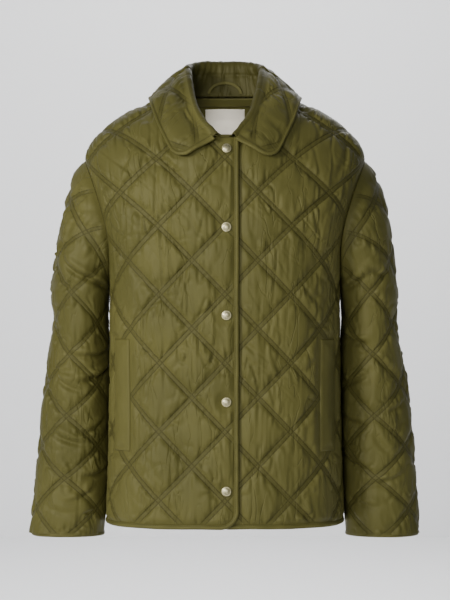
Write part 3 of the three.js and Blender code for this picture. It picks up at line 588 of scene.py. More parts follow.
def puckers(u, h, away, seed, upright=1.0):
    """Folds of the face cloth, mostly upright, that start at the stitches and run into the diamonds."""
    lean = 3.6 * noise(u / 75, h / 90, seed + 5) + 0.9 * noise(u / 26, h / 40, seed + 6)
    strong = smooth(noise(u / 40, h / 48, seed + 2), -0.35, 0.6)
    near = np.exp(-away / 13.0)
    long = folded((u + lean) / 12, h / (95 * upright), seed, 0.11)
    short = folded((u + 1.3 * lean) / 8.5, h / (34 * upright), seed + 1, 0.2)
    slanted = folded((u + 0.8 * h + 2 * lean) / 21, (h - 0.6 * u) / 60, seed + 3, 0.1)
    soft = noise((u + lean) / 9, h / (50 * upright), seed + 4)
    fine = noise((u + lean) / 4.2, h / 17, seed + 7)
    return (
        long * (0.1 + strong) * (0.35 + 0.65 * near) * 3.9
        + short * (0.05 + 0.95 * near) * 3.1
        + slanted * strong * 0.9
        + soft * (0.3 + 0.5 * near) * 1.1
        + fine * (0.15 + near) * 0.7
    )


def quilted(u, h, diamond, phase, seed, upright=1.0):
    """How far the quilted face stands above the wall, and the lattice place of each point."""
    rising, falling = lattice(u, h, diamond, phase)
    near, far = from_line(rising), from_line(falling)
    away = np.minimum(near, far)
    fullness = swell(near) * swell(far)
    outside = smooth(away, CHANNEL - 0.4, CHANNEL + 3.0)
    run = np.where(near < far, falling, rising) * LINE_SPACING
    gathers = noise(run / 3.4, away / 9 + 7 * (near < far), seed + 8)
    beside = np.exp(-(((away - CHANNEL - 1.2) / 2.6) ** 2))
    inside = 1 - smooth(away, CHANNEL - 1.0, CHANNEL + 1.0)
    ripple = 0.5 * noise(run / 2.9, away / 4, seed + 9) * inside
    folds = puckers(u, h, away, seed, upright) * outside
    return RISE * fullness + folds + 0.75 * gathers * beside + ripple, rising, falling


def clear_of(away):
    """0 at a sewn edge, and 1 where the wadding is full again."""
    return smooth(away, 0.5, 12)


def make_mesh(name, points, faces, material, quilt=None):
    mesh = bpy.data.meshes.new(name)
    mesh.from_pydata((np.asarray(points) / 1000).tolist(), [], faces)
    mesh.materials.append(material)
    if quilt is not None:
        layer = mesh.attributes.new("quilt", "FLOAT_VECTOR", "POINT")
        layer.data.foreach_set("vector", np.asarray(quilt, np.float32).ravel())
    mesh.shade_smooth()
    mesh.validate()
    piece = bpy.data.objects.new(name, mesh)
    bpy.context.scene.collection.objects.link(piece)
    return piece


def grid_faces(rows, columns):
    """The faces of a closed cloth: an outer grid, an inner grid after it, and the rim."""
    count = rows * columns
    index = np.arange(count).reshape(rows, columns)
    outer = np.stack([index[:-1, :-1], index[:-1, 1:], index[1:, 1:], index[1:, :-1]], -1).reshape(-1, 4)
    inner = outer[:, ::-1] + count
    loop = np.concatenate([index[0, :], index[1:, -1], index[-1, -2::-1], index[-2:0:-1, 0]])
    following = np.roll(loop, -1)
    rim = np.stack([following, loop, loop + count, following + count], -1)
    return np.concatenate([outer, inner, rim]).tolist()


def stand_for(piece, node):
    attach(piece, "root")
    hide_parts(node)


def cloth_piece(name, node, grid, form, rise, wall, lattice_at, material=quilted_nylon, lift=0.0):
    """A closed cloth on a form. rise is its face above the wall, wall its thickness at the stitches.
    lift moves the whole cloth out, or in where it is below 0."""
    rows, columns = grid.shape[:2]
    u, h = grid[..., 0].ravel(), grid[..., 1].ravel()
    points = np.concatenate([form(u, h, lift + wall + rise), form(u, h, lift)])
    quilt = np.tile(np.stack(lattice_at, -1), (2, 1))
    piece = make_mesh(name, points, grid_faces(rows, columns), material, quilt)
    stand_for(piece, node)
    return piece


def front_paths(inset):
    """The four sides of the wearer's left front. inset is how far its bound edges stop short."""
    edge, corner = -LAP + inset, HEM_CORNER - inset
    angles = np.linspace(0, math.pi / 2, 12)
    arc = np.stack([edge + corner * (1 - np.cos(angles)), inset + corner * (1 - np.sin(angles))], -1)
    bottom = np.concatenate([arc, [[QUARTER, inset]]])
    neck = neckline(False)
    left = np.concatenate([arc[:1], [[edge, neck[0, 1]], [0, neck[0, 1]]], neck[1:]])
    shoulder_u = np.linspace(neck[-1, 0], TIP_SHARE * QUARTER, 40)
    top = np.stack([shoulder_u, ridge_h(shoulder_u)], -1)
    arm = armhole(np.linspace(1, 0, 60), False)
    right = np.concatenate([bottom[-1:], arm])
    return bottom, right, top, left


# The welts and snaps lie on cloth that is pressed flatter
WELT_WIDTH, WELT_HEIGHT, WELT_LOW, WELT_LEAN = 34.0, 163.0, -520 - HEM_Z, 3.0
WELT_U = cloth_of(149.0, -438.5, False)[0]
WELT_WALL = 0.8
SNAP_HEIGHTS = [548.0, 435.0, 308.0, 183.0, 55.0]
SNAP_U = 2.0


def pressed(u, h):
    across = np.abs(np.abs(u) - WELT_U) - WELT_WIDTH / 2
    along = np.maximum(WELT_LOW - h, h - WELT_LOW - WELT_HEIGHT)
    welt = smooth(np.maximum(across, along), 1, 13)
    snap = np.min([np.hypot(u - SNAP_U, h - at) for at in SNAP_HEIGHTS], axis=0)
    return welt * smooth(snap, 6, 20)


def side_press(u):
    _, share, _ = quarter_of(u)
    return mix(0.4, 1.0, smooth((1 - share) * QUARTER, 12, 60))


def lap_lift(u):
    return LAP_LIFT * smooth(u, -LAP - 46, -LAP - 4)


def on_upper_front(u, h, w):
    return on_body(u, h, w + lap_lift(u))


def mirrored(grid, side, *values):
    """A panel of the wearer's left side with its values, or its mirror where side is below 0."""
    grid = grid * [side, 1]
    if side > 0:
        return grid, *values
    turned = [value.reshape(grid.shape[:2])[:, ::-1].ravel() for value in values]
    return grid[:, ::-1], *turned


def thinned(away):
    """The share of the wadding's height that is left beside an armhole or a shoulder seam."""
    return mix(0.25, 1, smooth(away, 0, 34))


def seam_dip(away):
    return -SEAM_DIP * (1 - smooth(away, 0.5, 8)) ** 4


def make_front(name, side):
    bottom, right, top, left = front_paths(BOUND_INSET)
    grid = patch(bottom, right, top, left)
    flat = grid.reshape(-1, 2)
    sewn = clear_of(from_path(flat, np.concatenate([bottom, right])))
    edge = clear_of(from_path(flat, np.concatenate([left, top])))
    beside = from_path(flat, np.concatenate([right[1:], top[::-1]]))
    grid, sewn, edge, beside = mirrored(grid, side, sewn, edge, beside)
    u, h = grid[..., 0].ravel(), grid[..., 1].ravel()
    rise, rising, falling = quilted(u, h, DIAMOND, (0, CROSSING_H), 11 if side > 0 else 21)
    rise = rise * pressed(u, h) * side_press(u) * sewn * edge * thinned(beside)
    if side > 0:
        rise = rise * smooth(u, LAP - 4, LAP + 14)
    form = on_body if side > 0 else on_upper_front
    shown = (rising, falling, np.minimum(sewn, edge))
    wall = WALL - 1.4 * (1 - np.minimum(sewn, edge))
    piece = cloth_piece(name + "_cloth", name, grid, form, rise, wall, shown, lift=seam_dip(beside))


make_front("left_front", 1)
make_front("right_front", -1)


# The back. It is one quilted panel from side seam to side seam, sewn to the fronts at the
# sides and shoulders, with its hem bound.
def make_back():
    arm = armhole(np.linspace(1, 0, 60), True)
    neck = neckline(True)
    shoulder_u = np.linspace(TIP_SHARE * QUARTER, neck[-1, 0], 40)
    shoulder = np.stack([shoulder_u, ridge_h(2 * QUARTER - shoulder_u)], -1)
    half_top = np.concatenate([shoulder, neck[::-1][1:]])
    near_side = np.concatenate([[[QUARTER, BOUND_INSET]], arm]) * [-1, 1] + [2 * QUARTER, 0]
    far_side = near_side * [-1, 1] + [4 * QUARTER, 0]
    near_top = half_top * [-1, 1] + [2 * QUARTER, 0]
    far_top = (near_top * [-1, 1] + [4 * QUARTER, 0])[::-1][1:]
    top = np.concatenate([near_top, far_top])
    bottom = np.array([[QUARTER, BOUND_INSET], [3 * QUARTER, BOUND_INSET]])
    grid = patch(bottom, far_side, top, near_side, BACK_CELL)
    u, h = grid[..., 0].ravel(), grid[..., 1].ravel()
    outline = np.concatenate([near_side, top, far_side[::-1], bottom])
    inward = from_path(np.stack([u, h], -1), outline)
    sewn = clear_of(inward)
    rise, rising, falling = quilted(u, h, DIAMOND, (2 * QUARTER, CROSSING_H), 31)
    beside = inward + 40 * smooth(ARMHOLE_FROM_H - h, 0, 60)
    rise = rise * side_press(u) * sewn * thinned(beside)
    dip = -SEAM_DIP * (1 - sewn) ** 4 * smooth(h, 15, 40)
    wall = WALL - 1.4 * (1 - sewn)
    shown = (rising, falling, sewn)
    piece = cloth_piece("back_cloth", "back", grid, on_body, rise, wall, shown, lift=dip)


make_back()


# The sleeves. Each is one quilted piece with a seam at the underarm, set into the armhole. It
# turns down from the shoulder and hangs clear beside the body, creased from the elbow down.
CUFF_Z = -652.0
# z, outer x, inner x, half depth, centre y
SLEEVE_ROWS = [
    (-655, 288, 187, 43, 8),
    (-600, 284, 182, 46, 11),
    (-540, 279, 179, 50, 14),
    (-450, 271, 178, 54, 18),
    (-400, 265, 178, 57, 20),
    (-330, 255, 178, 60, 20),
]
HANG_Z = -330.0
HANG_L = HANG_Z - CUFF_Z
SLEEVE_HALF, SLEEVE_HALF_CUFF = 166.0, 150.0
HEAD_SWELL = 3.0
# around the sleeve, along it, direction in degrees, length, width, depth
CREASES = {
    "right_sleeve": [
        (70, 396, -33, 46, 4.5, 5.5),
        (118, 378, -14, 70, 4.5, 7.0),
        (60, 372, 30, 34, 4, 3.0),
        (112, 268, 4, 70, 4.5, 5.0),
        (118, 236, 16, 70, 4.5, 5.5),
        (68, 226, -29, 48, 4.5, 4.5),
        (60, 246, -12, 30, 3.5, 2.5),
        (72, 144, -23, 46, 4.5, 4.5),
        (112, 160, 26, 44, 4, 3.0),
        (120, 92, 13, 52, 4.5, 4.0),
        (96, 60, 30, 40, 4, 2.5),
        (62, 40, -20, 36, 4, 2.2),
        (-70, 262, 20, 60, 5, 3.5),
        (-105, 230, -20, 60, 5, 3.5),
        (-70, 150, -25, 50, 5, 3.0),
    ],
    "left_sleeve": [
        (-110, 378, 18, 60, 4.5, 5.0),
        (-66, 392, -24, 40, 4.5, 3.5),
        (-120, 291, -15, 58, 4.5, 5.5),
        (-68, 257, -37, 34, 4, 4.0),
        (-112, 232, 20, 50, 4, 3.5),
        (-50, 190, 24, 40, 4, 3.0),
        (-118, 170, -18, 50, 4.5, 3.5),
        (-76, 138, -60, 34, 4, 3.0),
        (-122, 110, -28, 52, 4.5, 4.5),
        (-64, 84, 22, 44, 4, 3.0),
        (-100, 48, -14, 44, 4, 2.5),
        (70, 262, -20, 60, 5, 3.5),
        (105, 230, 20, 60, 5, 3.5),
        (70, 150, 25, 50, 5, 3.0),
    ],
}
SLEEVE_PHASES = {"left_sleeve": (-83, -4), "right_sleeve": (71, -4)}
sleeve_outer = table_curve(SLEEVE_ROWS, 1)
sleeve_inner = table_curve(SLEEVE_ROWS, 2)
sleeve_depth = table_curve(SLEEVE_ROWS, 3)
sleeve_centre = table_curve(SLEEVE_ROWS, 4)


def sleeve_half(l):
    return mix(SLEEVE_HALF_CUFF, SLEEVE_HALF, np.clip(l / HANG_L, 0, 1))


def sleeve_ring(angle, z):
    outer, inner, across = sleeve_outer(z), sleeve_inner(z), np.cos(angle)
    x = (outer + inner) / 2 + (outer - inner) / 2 * np.sign(across) * np.abs(across) ** 0.92
    return np.stack([x, sleeve_centre(z) - sleeve_depth(z) * np.sin(angle), z + 0 * x], -1)


def sleeve_tops(angles, stops=81):
    """The curves from the hanging sleeve up to the armhole, at equal steps of their length."""
    at = np.abs(angles) / math.pi
    front, back = armhole(at, False), armhole(at, True)
    behind = angles < 0
    u = np.where(behind, 2 * QUARTER - back[:, 0], front[:, 0])
    start = body_point(u, np.where(behind, back[:, 1], front[:, 1]))
    end = sleeve_ring(angles, np.full_like(angles, HANG_Z))
    reach = np.linalg.norm(end - start, axis=1)[:, None]
    swing = np.sin(angles)[:, None] ** 2
    leave = (end - start) / reach + (0.3 + 0.7 * swing) * np.array([1.0, 0, 0])
    leave /= np.linalg.norm(leave, axis=1)[:, None]
    above_end = end + np.array([0, 0, 1.0]) * reach * mix(0.2, 0.35, swing)
    handles = [end, above_end, start + leave * reach * 0.3, start]
    t = np.linspace(0, 1, 200)[:, None, None]
    weights = [(1 - t) ** 3, 3 * t * (1 - t) ** 2, 3 * t**2 * (1 - t), t**3]
    curves = sum(w * handle[None] for w, handle in zip(weights, handles)).transpose(1, 0, 2)
    lengths = np.array([path_length(curve) for curve in curves])
    return np.stack([by_length(curve, stops) for curve in curves]), lengths


def table_surface(table, first, second):
    """A surface read between the points of a table that covers the two given ranges."""
    rows, columns = table.shape[:2]

    def read(a, b):
        x = np.clip((a - first[0]) / (first[1] - first[0]), 0, 1) * (rows - 1)
        y = np.clip((b - second[0]) / (second[1] - second[0]), 0, 1) * (columns - 1)
        i, j = np.minimum(x.astype(int), rows - 2), np.minimum(y.astype(int), columns - 2)
        s, t = (x - i)[:, None], (y - j)[:, None]
        near = mix(table[i, j], table[i + 1, j], s)
        far = mix(table[i, j + 1], table[i + 1, j + 1], s)
        return mix(near, far, t)

    return read


turns = np.linspace(-math.pi, math.pi, 361)
top_points, top_lengths = sleeve_tops(turns)
read_top = table_surface(top_points, (-math.pi, math.pi), (0, 1))


def sleeve_length(angle):
    return HANG_L + np.interp(angle, turns, top_lengths)


def wrapped(angle):
    return np.mod(angle + math.pi, 2 * math.pi) - math.pi


def sleeve_point(a, l):
    angle = -a / sleeve_half(l) * math.pi
    hanging = sleeve_ring(angle, CUFF_Z + np.minimum(l, HANG_L))
    turned = wrapped(angle)
    above = read_top(turned, (l - HANG_L) / (sleeve_length(turned) - HANG_L))
    return np.where((l <= HANG_L)[:, None], hanging, above)


def crease(a, l, rows):
    """Folds placed one by one: a valley with a soft ridge along its upper side."""
    total = np.zeros_like(a)
    for at_a, at_l, degrees, length, width, depth in rows:
        turn = math.radians(degrees)
        along = (a - at_a) * math.cos(turn) + (l - at_l) * math.sin(turn)
        across = (l - at_l) * math.cos(turn) - (a - at_a) * math.sin(turn)
        bow = across - 0.06 * length * (along / length * 2) ** 2
        window = np.exp(-((np.abs(along) / (length * 0.5)) ** 3))
        valley = -np.exp(-((bow / width) ** 2))
        shoulder = 0.75 * np.exp(-(((bow - 2.1 * width) / (1.5 * width)) ** 2))
        total += depth * window * (valley + shoulder)
    return total


def sleeve_form(name):
    """Lays cloth on one sleeve. The wearer's right one is the mirror of the left."""
    mirror = -1.0 if name == "right_sleeve" else 1.0
    step = 3.0

    def laid(a, l, w):
        a = a * mirror
        angle = -a / sleeve_half(l) * math.pi
        top = sleeve_length(wrapped(angle)) - step * 1.5
        at = np.minimum(l, top)
        out = np.cross(
            sleeve_point(a + step, at) - sleeve_point(a - step, at),
            sleeve_point(a, at + step) - sleeve_point(a, at - step),
        )
        out /= np.linalg.norm(out, axis=1)[:, None]
        inner = np.abs(a) / sleeve_half(l)
        calm = smooth(top - l, 4, 60) * smooth(l, 0, 30) * (1 - 0.8 * smooth(inner, 0.6, 0.9))
        slow = 2.0 * noise(a / 52, l / 95, 7 if mirror > 0 else 8) + 1.0 * noise(a / 26, l / 60, 9)
        folds = crease(a * mirror, l, CREASES[name]) * smooth(l, 0, 20) * smooth(top - l, 4, 40)
        beside = SIDE_SWELL * smooth(inner, 0.75, 0.98) * (1 - smooth(l, HANG_L - 40, HANG_L + 10))
        points = sleeve_point(a, l) + out * (np.asarray(w) + calm * slow + folds + beside)[:, None]
        points[:, 0] *= mirror
        return points

    return laid


on_left_sleeve, on_right_sleeve = sleeve_form("left_sleeve"), sleeve_form("right_sleeve")


def make_sleeve(name, form, mirror, seed):
    columns = int(2 * SLEEVE_HALF / CELL)
    across = np.linspace(-1, 1, columns)
    total = sleeve_length(wrapped(-across * mirror * math.pi))
    rows = int(total.max() / CELL)
    l = BOUND_INSET + np.linspace(0, 1, rows)[:, None] * (total[None, :] - BOUND_INSET)
    a = across[None, :] * sleeve_half(l)
    grid = np.stack([a, l], -1)
    a, l = a.ravel(), l.ravel()
    from_top = np.repeat(total[None, :], rows, 0).ravel() - l
    from_seam = sleeve_half(l) - np.abs(a)
    sewn = clear_of(np.minimum(from_top, from_seam))
    rise, rising, falling = quilted(a, l, SLEEVE_DIAMOND, SLEEVE_PHASES[name], seed, 0.7)
    round_in = np.abs(a) / sleeve_half(l)
    rise = 0.9 * rise * mix(1, 0.3, smooth(round_in, 0.62, 0.9)) * sewn * thinned(from_top)
    wall = WALL - 1.6 * (1 - smooth(from_top, 0, 8))
    head = smooth(l, HANG_L, HANG_L + 40) * (1 - smooth(round_in, 0.3, 0.7)) * smooth(from_top, 0, 26)
    lift = HEAD_SWELL * head + seam_dip(from_top)
    shown = (rising, falling, sewn)
    piece = cloth_piece(name + "_cloth", name, grid, form, rise, wall, shown, lift=lift)


make_sleeve("left_sleeve", on_left_sleeve, 1, 41)
make_sleeve("right_sleeve", on_right_sleeve, -1, 51)


# The collar, a round-cornered club collar. Its stand rises from the neck seam, gathered under
# a stitched band, and rolls over into a quilted fall.
ROLL_BACK, ROLL_FRONT = 7.0, 4.0
COLLAR_HALF, STAND, FALL, CLUB_RADIUS = 235.0, 60.0, 90.0, 30.0
COLLAR_WALL, COLLAR_RISE = 2.2, 3.6
COLLAR_CELL = 2.3
BAND_SEAM = 37.0
# place, place on the neck seam, then x, y, z of the roll and of the outer edge
COLLAR_ROWS = [
    (0, 0, 0, 60, 64, 0, 98, -14),
    (0.15, 0.15, 27, 55, 64, 52, 90, -10),
    (0.3, 0.32, 47, 38, 59, 91, 64, -5),
    (0.45, 0.48, 52, 12, 51, 112, 12, 1),
    (0.6, 0.62, 50, -24, 33, 111, -47, -9),
    (0.75, 0.76, 43, -62, 0, 99, -87, -43),
    (0.88, 0.88, 31, -96, -33, 81, -110, -80),
    (1, 0.985, 8, -122, -62, 70, -124, -102),
]
STATIONS = 189
NECK_PATHS = {is_back: neckline(is_back, 101) for is_back in (False, True)}


def beside_neck(at, is_back, inset):
    """The neckline, moved down into the cloth by inset, or out of it where inset is below 0."""
    path, places = NECK_PATHS[bool(is_back)], np.linspace(0, 1, 101)
    at = min(at, 0.99)
    stops = np.clip([at - 0.02, at, at + 0.02], 0, 0.99)
    before, here, after = np.stack([np.interp(stops, places, path[:, k]) for k in (0, 1)], -1)
    run, rise = (after - before) / np.linalg.norm(after - before)
    return here[0] + inset * rise, here[1] - inset * run


def unit(vectors):
    return vectors / np.linalg.norm(vectors, axis=-1, keepdims=True)


def collar_controls():
    """Seven control points of the collar's section at each station, from the seam to the edge."""
    at = np.linspace(-1, 1, STATIONS)
    side, k = np.where(at < 0, -1.0, 1.0), np.abs(at)
    neck, *columns = [table_curve(COLLAR_ROWS, c)(k) for c in range(1, 8)]
    roll, edge = np.stack(columns[:3], -1), np.stack(columns[3:], -1)
    is_back = neck < 0.5
    along = np.where(is_back, neck * 2, (1 - neck) * 2)
    seam_cloth = np.array([beside_neck(a, b, -1.3) for a, b in zip(along, is_back)])
    lift = np.where(~is_back & (side < 0), lap_lift(-seam_cloth[:, 0]), 0)
    u = np.where(is_back, 2 * QUARTER - seam_cloth[:, 0], seam_cloth[:, 0])
    seam = body_form(u, seam_cloth[:, 1], 1.2 + lift)
    outward = unit(edge - seam)
    forward = smooth(k, 0.55, 1)[:, None]
    lifted = unit(mix(np.array([0, 0, 1.0]), np.array([0, -0.8, 0.5]), forward))
    bulge = np.linalg.norm(edge - roll, axis=1)[:, None] * 0.02
    radius = mix(ROLL_BACK, ROLL_FRONT, smooth(k, 0.8, 1))[:, None]
    controls = np.stack([
        seam,
        (seam + roll) / 2 + outward,
        roll - lifted * radius,
        roll + outward * radius * 0.6,
        roll + outward * radius * 2 - lifted * radius,
        mix(roll, edge, 0.55) + lifted * bulge,
        edge,
    ])
    over_lap = np.where(side < 0, LAP_LIFT * smooth(k, 0.7, 0.95), 0)
    controls[1:, :, 1] -= over_lap
    controls[:, :, 0] *= side
    return controls


def spline(controls, count):
    """A centripetal Catmull-Rom curve through the controls, sampled evenly from end to end."""
    ends = [2 * controls[0] - controls[1], 2 * controls[-1] - controls[-2]]
    points = np.concatenate([ends[:1], controls, ends[1:]])
    samples = []
    for p in np.linspace(0, len(controls) - 1, count):
        i = min(int(p), len(controls) - 2)
        t = p - i
        p0, p1, p2, p3 = points[i:i + 4]
        steps = (p1 - p0, p2 - p1, p3 - p2)
        d0, d1, d2 = [np.linalg.norm(step, axis=1, keepdims=True) ** 0.5 for step in steps]
        m1 = ((p1 - p0) / d0 - (p2 - p0) / (d0 + d1) + (p2 - p1) / d1) * d1
        m2 = ((p2 - p1) / d1 - (p3 - p1) / (d1 + d2) + (p3 - p2) / d2) * d1
        square, cube = 3 * (p2 - p1) - 2 * m1 - m2, 2 * (p1 - p2) + m1 + m2
        samples.append(p1 + m1 * t + square * t**2 + cube * t**3)
    return np.stack(samples, 1)


def collar_table():
    curves = spline(collar_controls(), 121)
    r = np.linspace(0, STAND + FALL, 101)
    table = []
    for curve in curves:
        length = np.concatenate([[0], np.cumsum(np.linalg.norm(np.diff(curve, axis=0), axis=1))])
        roll, full = length[60], length[-1]
        reach = np.where(r < STAND, roll * r / STAND, mix(roll, full, (r - STAND) / FALL))
        table.append(np.stack([np.interp(reach, length, curve[:, k]) for k in range(3)], -1))
    return np.stack(table)


read_collar = table_surface(collar_table(), (-COLLAR_HALF, COLLAR_HALF), (0, STAND + FALL))


def on_collar(c, r, w):
    step = 3.0
    ca, ra = np.clip(c, -COLLAR_HALF + step, COLLAR_HALF - step), np.clip(r, step, STAND + FALL - step)
    along = read_collar(ca + step, ra) - read_collar(ca - step, ra)
    up = read_collar(ca, ra + step) - read_collar(ca, ra - step)
    slow = 1.3 * noise(c / 60, r / 45, 15) * smooth(r, 4, 40) * smooth(STAND + FALL - r, 2, 30)
    return read_collar(c, r) + unit(np.cross(along, up)) * (np.asarray(w) + slow)[..., None]


def collar_edge(inset):
    """The collar's outer edge, taken in all round, from one front end to the other."""
    end, top, radius = COLLAR_HALF - inset, STAND + FALL - inset, CLUB_RADIUS - inset
    angles = np.linspace(0, math.pi / 2, 14)
    turn = np.stack([end - radius * (1 - np.cos(angles)), top - radius * (1 - np.sin(angles))], -1)
    half = np.concatenate([[[end, STAND + 8], [end, top - radius]], turn[1:], [[0, top]]])
    outs = np.stack([np.cos(angles), np.sin(angles)], -1)
    half_out = np.concatenate([[[1, 0], [1, 0]], outs[1:], [[0, 1]]])
    path = np.concatenate([half, (half * [-1, 1])[::-1][1:]])
    return path, np.concatenate([half_out, (half_out * [-1, 1])[::-1][1:]])


def make_collar():
    path, _ = collar_edge(BOUND_INSET)
    end = COLLAR_HALF - BOUND_INSET
    low = [[-end, 0], [end, 0]]
    right = np.array([[end, 0.0], [end, STAND + FALL - CLUB_RADIUS]])
    left = right * [-1, 1]
    top = path[1:-1][::-1]
    grid = patch(low, right, top, left, COLLAR_CELL)
    c, r = grid[..., 0].ravel(), grid[..., 1].ravel()
    away = from_path(np.stack([c, r], -1), np.concatenate([right, path[1:-1], left[::-1]]))
    sewn = clear_of(away)
    rise, rising, falling = quilted(c, r, DIAMOND, (0, STAND), 61, 0.6)
    fall = smooth(r, STAND + 2, STAND + 22)
    band = np.exp(-(((r - BAND_SEAM) / 1.6) ** 2))
    gather = 1.5 * noise(c / 7.5, r / 26, 66) + 0.9 * noise(c / 3.9, r / 16, 67)
    gather = gather * (0.35 + np.exp(-np.abs(r - BAND_SEAM) / 9))
    stand = (gather - 1.6 * band) * smooth(r, 1, 8) * smooth(STAND + 8 - r, 0, 12)
    rise = rise * fall * sewn * (COLLAR_RISE / RISE) + (1 - fall) * stand + 0.5 * sewn
    # The third part is 0 on the stand, so the whole stand gets the painted shade of the seams.
    shown = (rising, falling, sewn * fall)
    piece = cloth_piece("collar_cloth", "collar", grid, on_collar, rise, COLLAR_WALL, shown)


make_collar()


# The bindings. Strips of the same nylon are folded over every raw edge and stitched through
# near their inner fold: the front edges and hem, the back hem, the cuffs and the collar.
TAPE_WIDTH, TAPE_THICK, TAPE_STEP = 6.6, 3.9, 2.6
# across the tape, through it
TAPE_SECTION = [
    (0.0, -0.1),
    (-0.03, 0.5),
    (0.02, 0.84),
    (0.12, 0.93),
    (0.2, 0.86),
    (0.28, 0.97),
    (0.5, 1.1),
    (0.75, 1.05),
    (0.93, 0.85),
    (1.02, 0.5),
    (0.98, 0.1),
    (0.8, -0.14),
    (0.4, -0.2),
]


def binding_finish():
    material, wire, shader = principled("binding_nylon", NYLON_SHADER)
    place = object_place(wire)
    weave = specks(place, 1500.0, 1.0)
    cloudy = specks(place, 30.0, 2.0)
    run = wire.node("ShaderNodeAttribute", {"attribute_name": "quilt"}, output="Vector")
    along, across = run.part(0), run.part(1)
    row = 1 - abs(across - 0.2).band(0.02, 0.07)
    dash = (along * (1 / STITCH_LENGTH)).to_and_fro(0.5).band(0.1, 0.22)
    stitches = row * (0.3 + dash * 0.7)
    cloth = cloudy.band(0.3, 0.7).mixed(NYLON["deep"], NYLON["bright"])
    feed(material, shader, "Base Color", stitches.mixed(cloth, NYLON["thread_and_shade"]))
    feed(material, shader, "Roughness", 0.48 + cloudy * 0.1)
    feed_bump(material, shader, weave * 0.04 - stitches * 0.5, 0.5, 0.0006)
    return material


binding_nylon = binding_finish()


def strip_faces(rings, size, closed):
    index = np.arange(rings * size).reshape(rings, size)
    following = np.roll(index, -1, axis=0) if closed else index[1:]
    here = index if closed else index[:-1]
    beside, beyond = np.roll(here, -1, axis=1), np.roll(following, -1, axis=1)
    faces = np.stack([here, beside, beyond, following], -1).reshape(-1, 4).tolist()
    if not closed:
        faces += [index[0, ::-1].tolist(), index[-1].tolist()]
    return faces


def outward(points, faces):
    """The faces turned so that the closed mesh's inside is behind them."""
    total = 0.0
    for face in faces:
        a, b, c = points[face[0]], points[face[1]], points[face[2]]
        total += a @ np.cross(b, c) + (a @ np.cross(c, points[face[3]]) if len(face) == 4 else 0)
    return faces if total > 0 else [face[::-1] for face in faces]


def tape(name, path, outs, form, closed=False):
    """A binding along a path. outs says which way out of the cloth lies at each of its points."""
    both = np.concatenate([path, outs], 1)
    both = by_length(both, int(path_length(path) / TAPE_STEP) + 2)
    if closed:
        both = both[:-1]
    section = np.array(TAPE_SECTION)
    size, rings = len(section), len(both)
    across = np.tile(section[:, 0], rings)
    through = np.tile(section[:, 1], rings)
    u, h, out_u, out_h = [np.repeat(both[:, k], size) for k in range(4)]
    along = np.repeat(np.arange(rings) * TAPE_STEP, size)
    ripple = 0.28 * noise(along / 5.5, across, len(name)) + 0.2 * noise(along / 17, across, 5)
    wander = 0.3 * noise(along / 30, 0 * across, 6)
    w = through * TAPE_THICK - 0.5 + ripple * smooth(through, 0.2, 0.9)
    reach = across * TAPE_WIDTH + wander
    points = form(u + out_u * reach, h + out_h * reach, w)
    faces = outward(points, strip_faces(rings, size, closed))
    quilt = np.stack([along, across, 0 * along], -1)
    piece = make_mesh(name + "_cloth", points, faces, binding_nylon, quilt)
    stand_for(piece, name)


def front_edge(side):
    neck_low = NECK_PATHS[False][0, 1]
    edge, corner = -LAP + TAPE_WIDTH, HEM_CORNER - TAPE_WIDTH
    angles = np.linspace(0, math.pi / 2, 12)
    arc = [edge, TAPE_WIDTH] + corner * (1 - np.stack([np.cos(angles), np.sin(angles)], -1))
    path = np.concatenate([[[edge, neck_low - 1]], arc, [[QUARTER - 0.1, TAPE_WIDTH]]])
    turn = np.stack([-np.cos(angles), -np.sin(angles)], -1)
    outs = np.concatenate([[[-1, 0]], turn, [[0, -1]]])
    return path * [side, 1], outs * [side, 1]


tape("left_front_binding", *front_edge(1), on_body)
tape("right_front_binding", *front_edge(-1), on_upper_front)
down = np.array([[0.0, -1], [0, -1]])
back_hem = np.array([[QUARTER + 0.1, TAPE_WIDTH], [3 * QUARTER - 0.1, TAPE_WIDTH]])
tape("back_hem_binding", back_hem, down, on_body)
cuff = np.array([[-SLEEVE_HALF_CUFF, TAPE_WIDTH], [SLEEVE_HALF_CUFF, TAPE_WIDTH]])
tape("left_cuff_binding", cuff, down, on_left_sleeve, closed=True)
tape("right_cuff_binding", cuff, down, on_right_sleeve, closed=True)
tape("collar_binding", *collar_edge(TAPE_WIDTH), on_collar)


# The pocket welts: plain doubled nylon, edge-stitched round, pulled in slightly at the ends
# where they are tacked to the front.
plain_nylon = cloth_finish("plain_nylon", False)


def make_welt(name, side, form):
    across, up = np.array([(-0.5, 0), (0.5, 0), (0.5, 1), (-0.5, 1)]).T
    sideways = WELT_U + across * WELT_WIDTH + (up - 0.5) * WELT_LEAN
    outline = np.stack([sideways, WELT_LOW + up * WELT_HEIGHT], -1)
    grid = patch(outline[[0, 1]], outline[[1, 2]], outline[[3, 2]], outline[[0, 3]], 2.0)
    flat = grid.reshape(-1, 2)
    away = from_path(flat, np.concatenate([outline, outline[:1]]))
    grid, away = mirrored(grid, side, away)
    u, h = grid[..., 0].ravel(), grid[..., 1].ravel()
    groove = np.exp(-(((away - 5.0) / 0.9) ** 2))
    pillow = 2.2 * smooth(away, 0, 3.5) - 0.9 * groove + 1.2 * smooth(away, 6, 15)
    ends = np.minimum(h - WELT_LOW, WELT_LOW + WELT_HEIGHT - h)
    folds = 0.8 * noise(u / 24, h / 13, 71 if side > 0 else 72) * smooth(away, 4, 12)
    pull = -1.6 * np.exp(-ends / 6)
    shown = (0 * u, 0 * u, 0 * u)
    rise = pillow + folds + pull * smooth(away, 1, 6)
    lift = WALL - 0.2
    piece = cloth_piece(name + "_cloth", name, grid, form, rise, WELT_WALL, shown, plain_nylon, lift)


make_welt("left_pocket_welt", 1, on_body)
make_welt("right_pocket_welt", -1, on_upper_front)


# The press studs down the front: thin brass caps, antiqued and lacquered, each with a rolled
# rim and a low plain dome.
SNAP_SIDES = 40
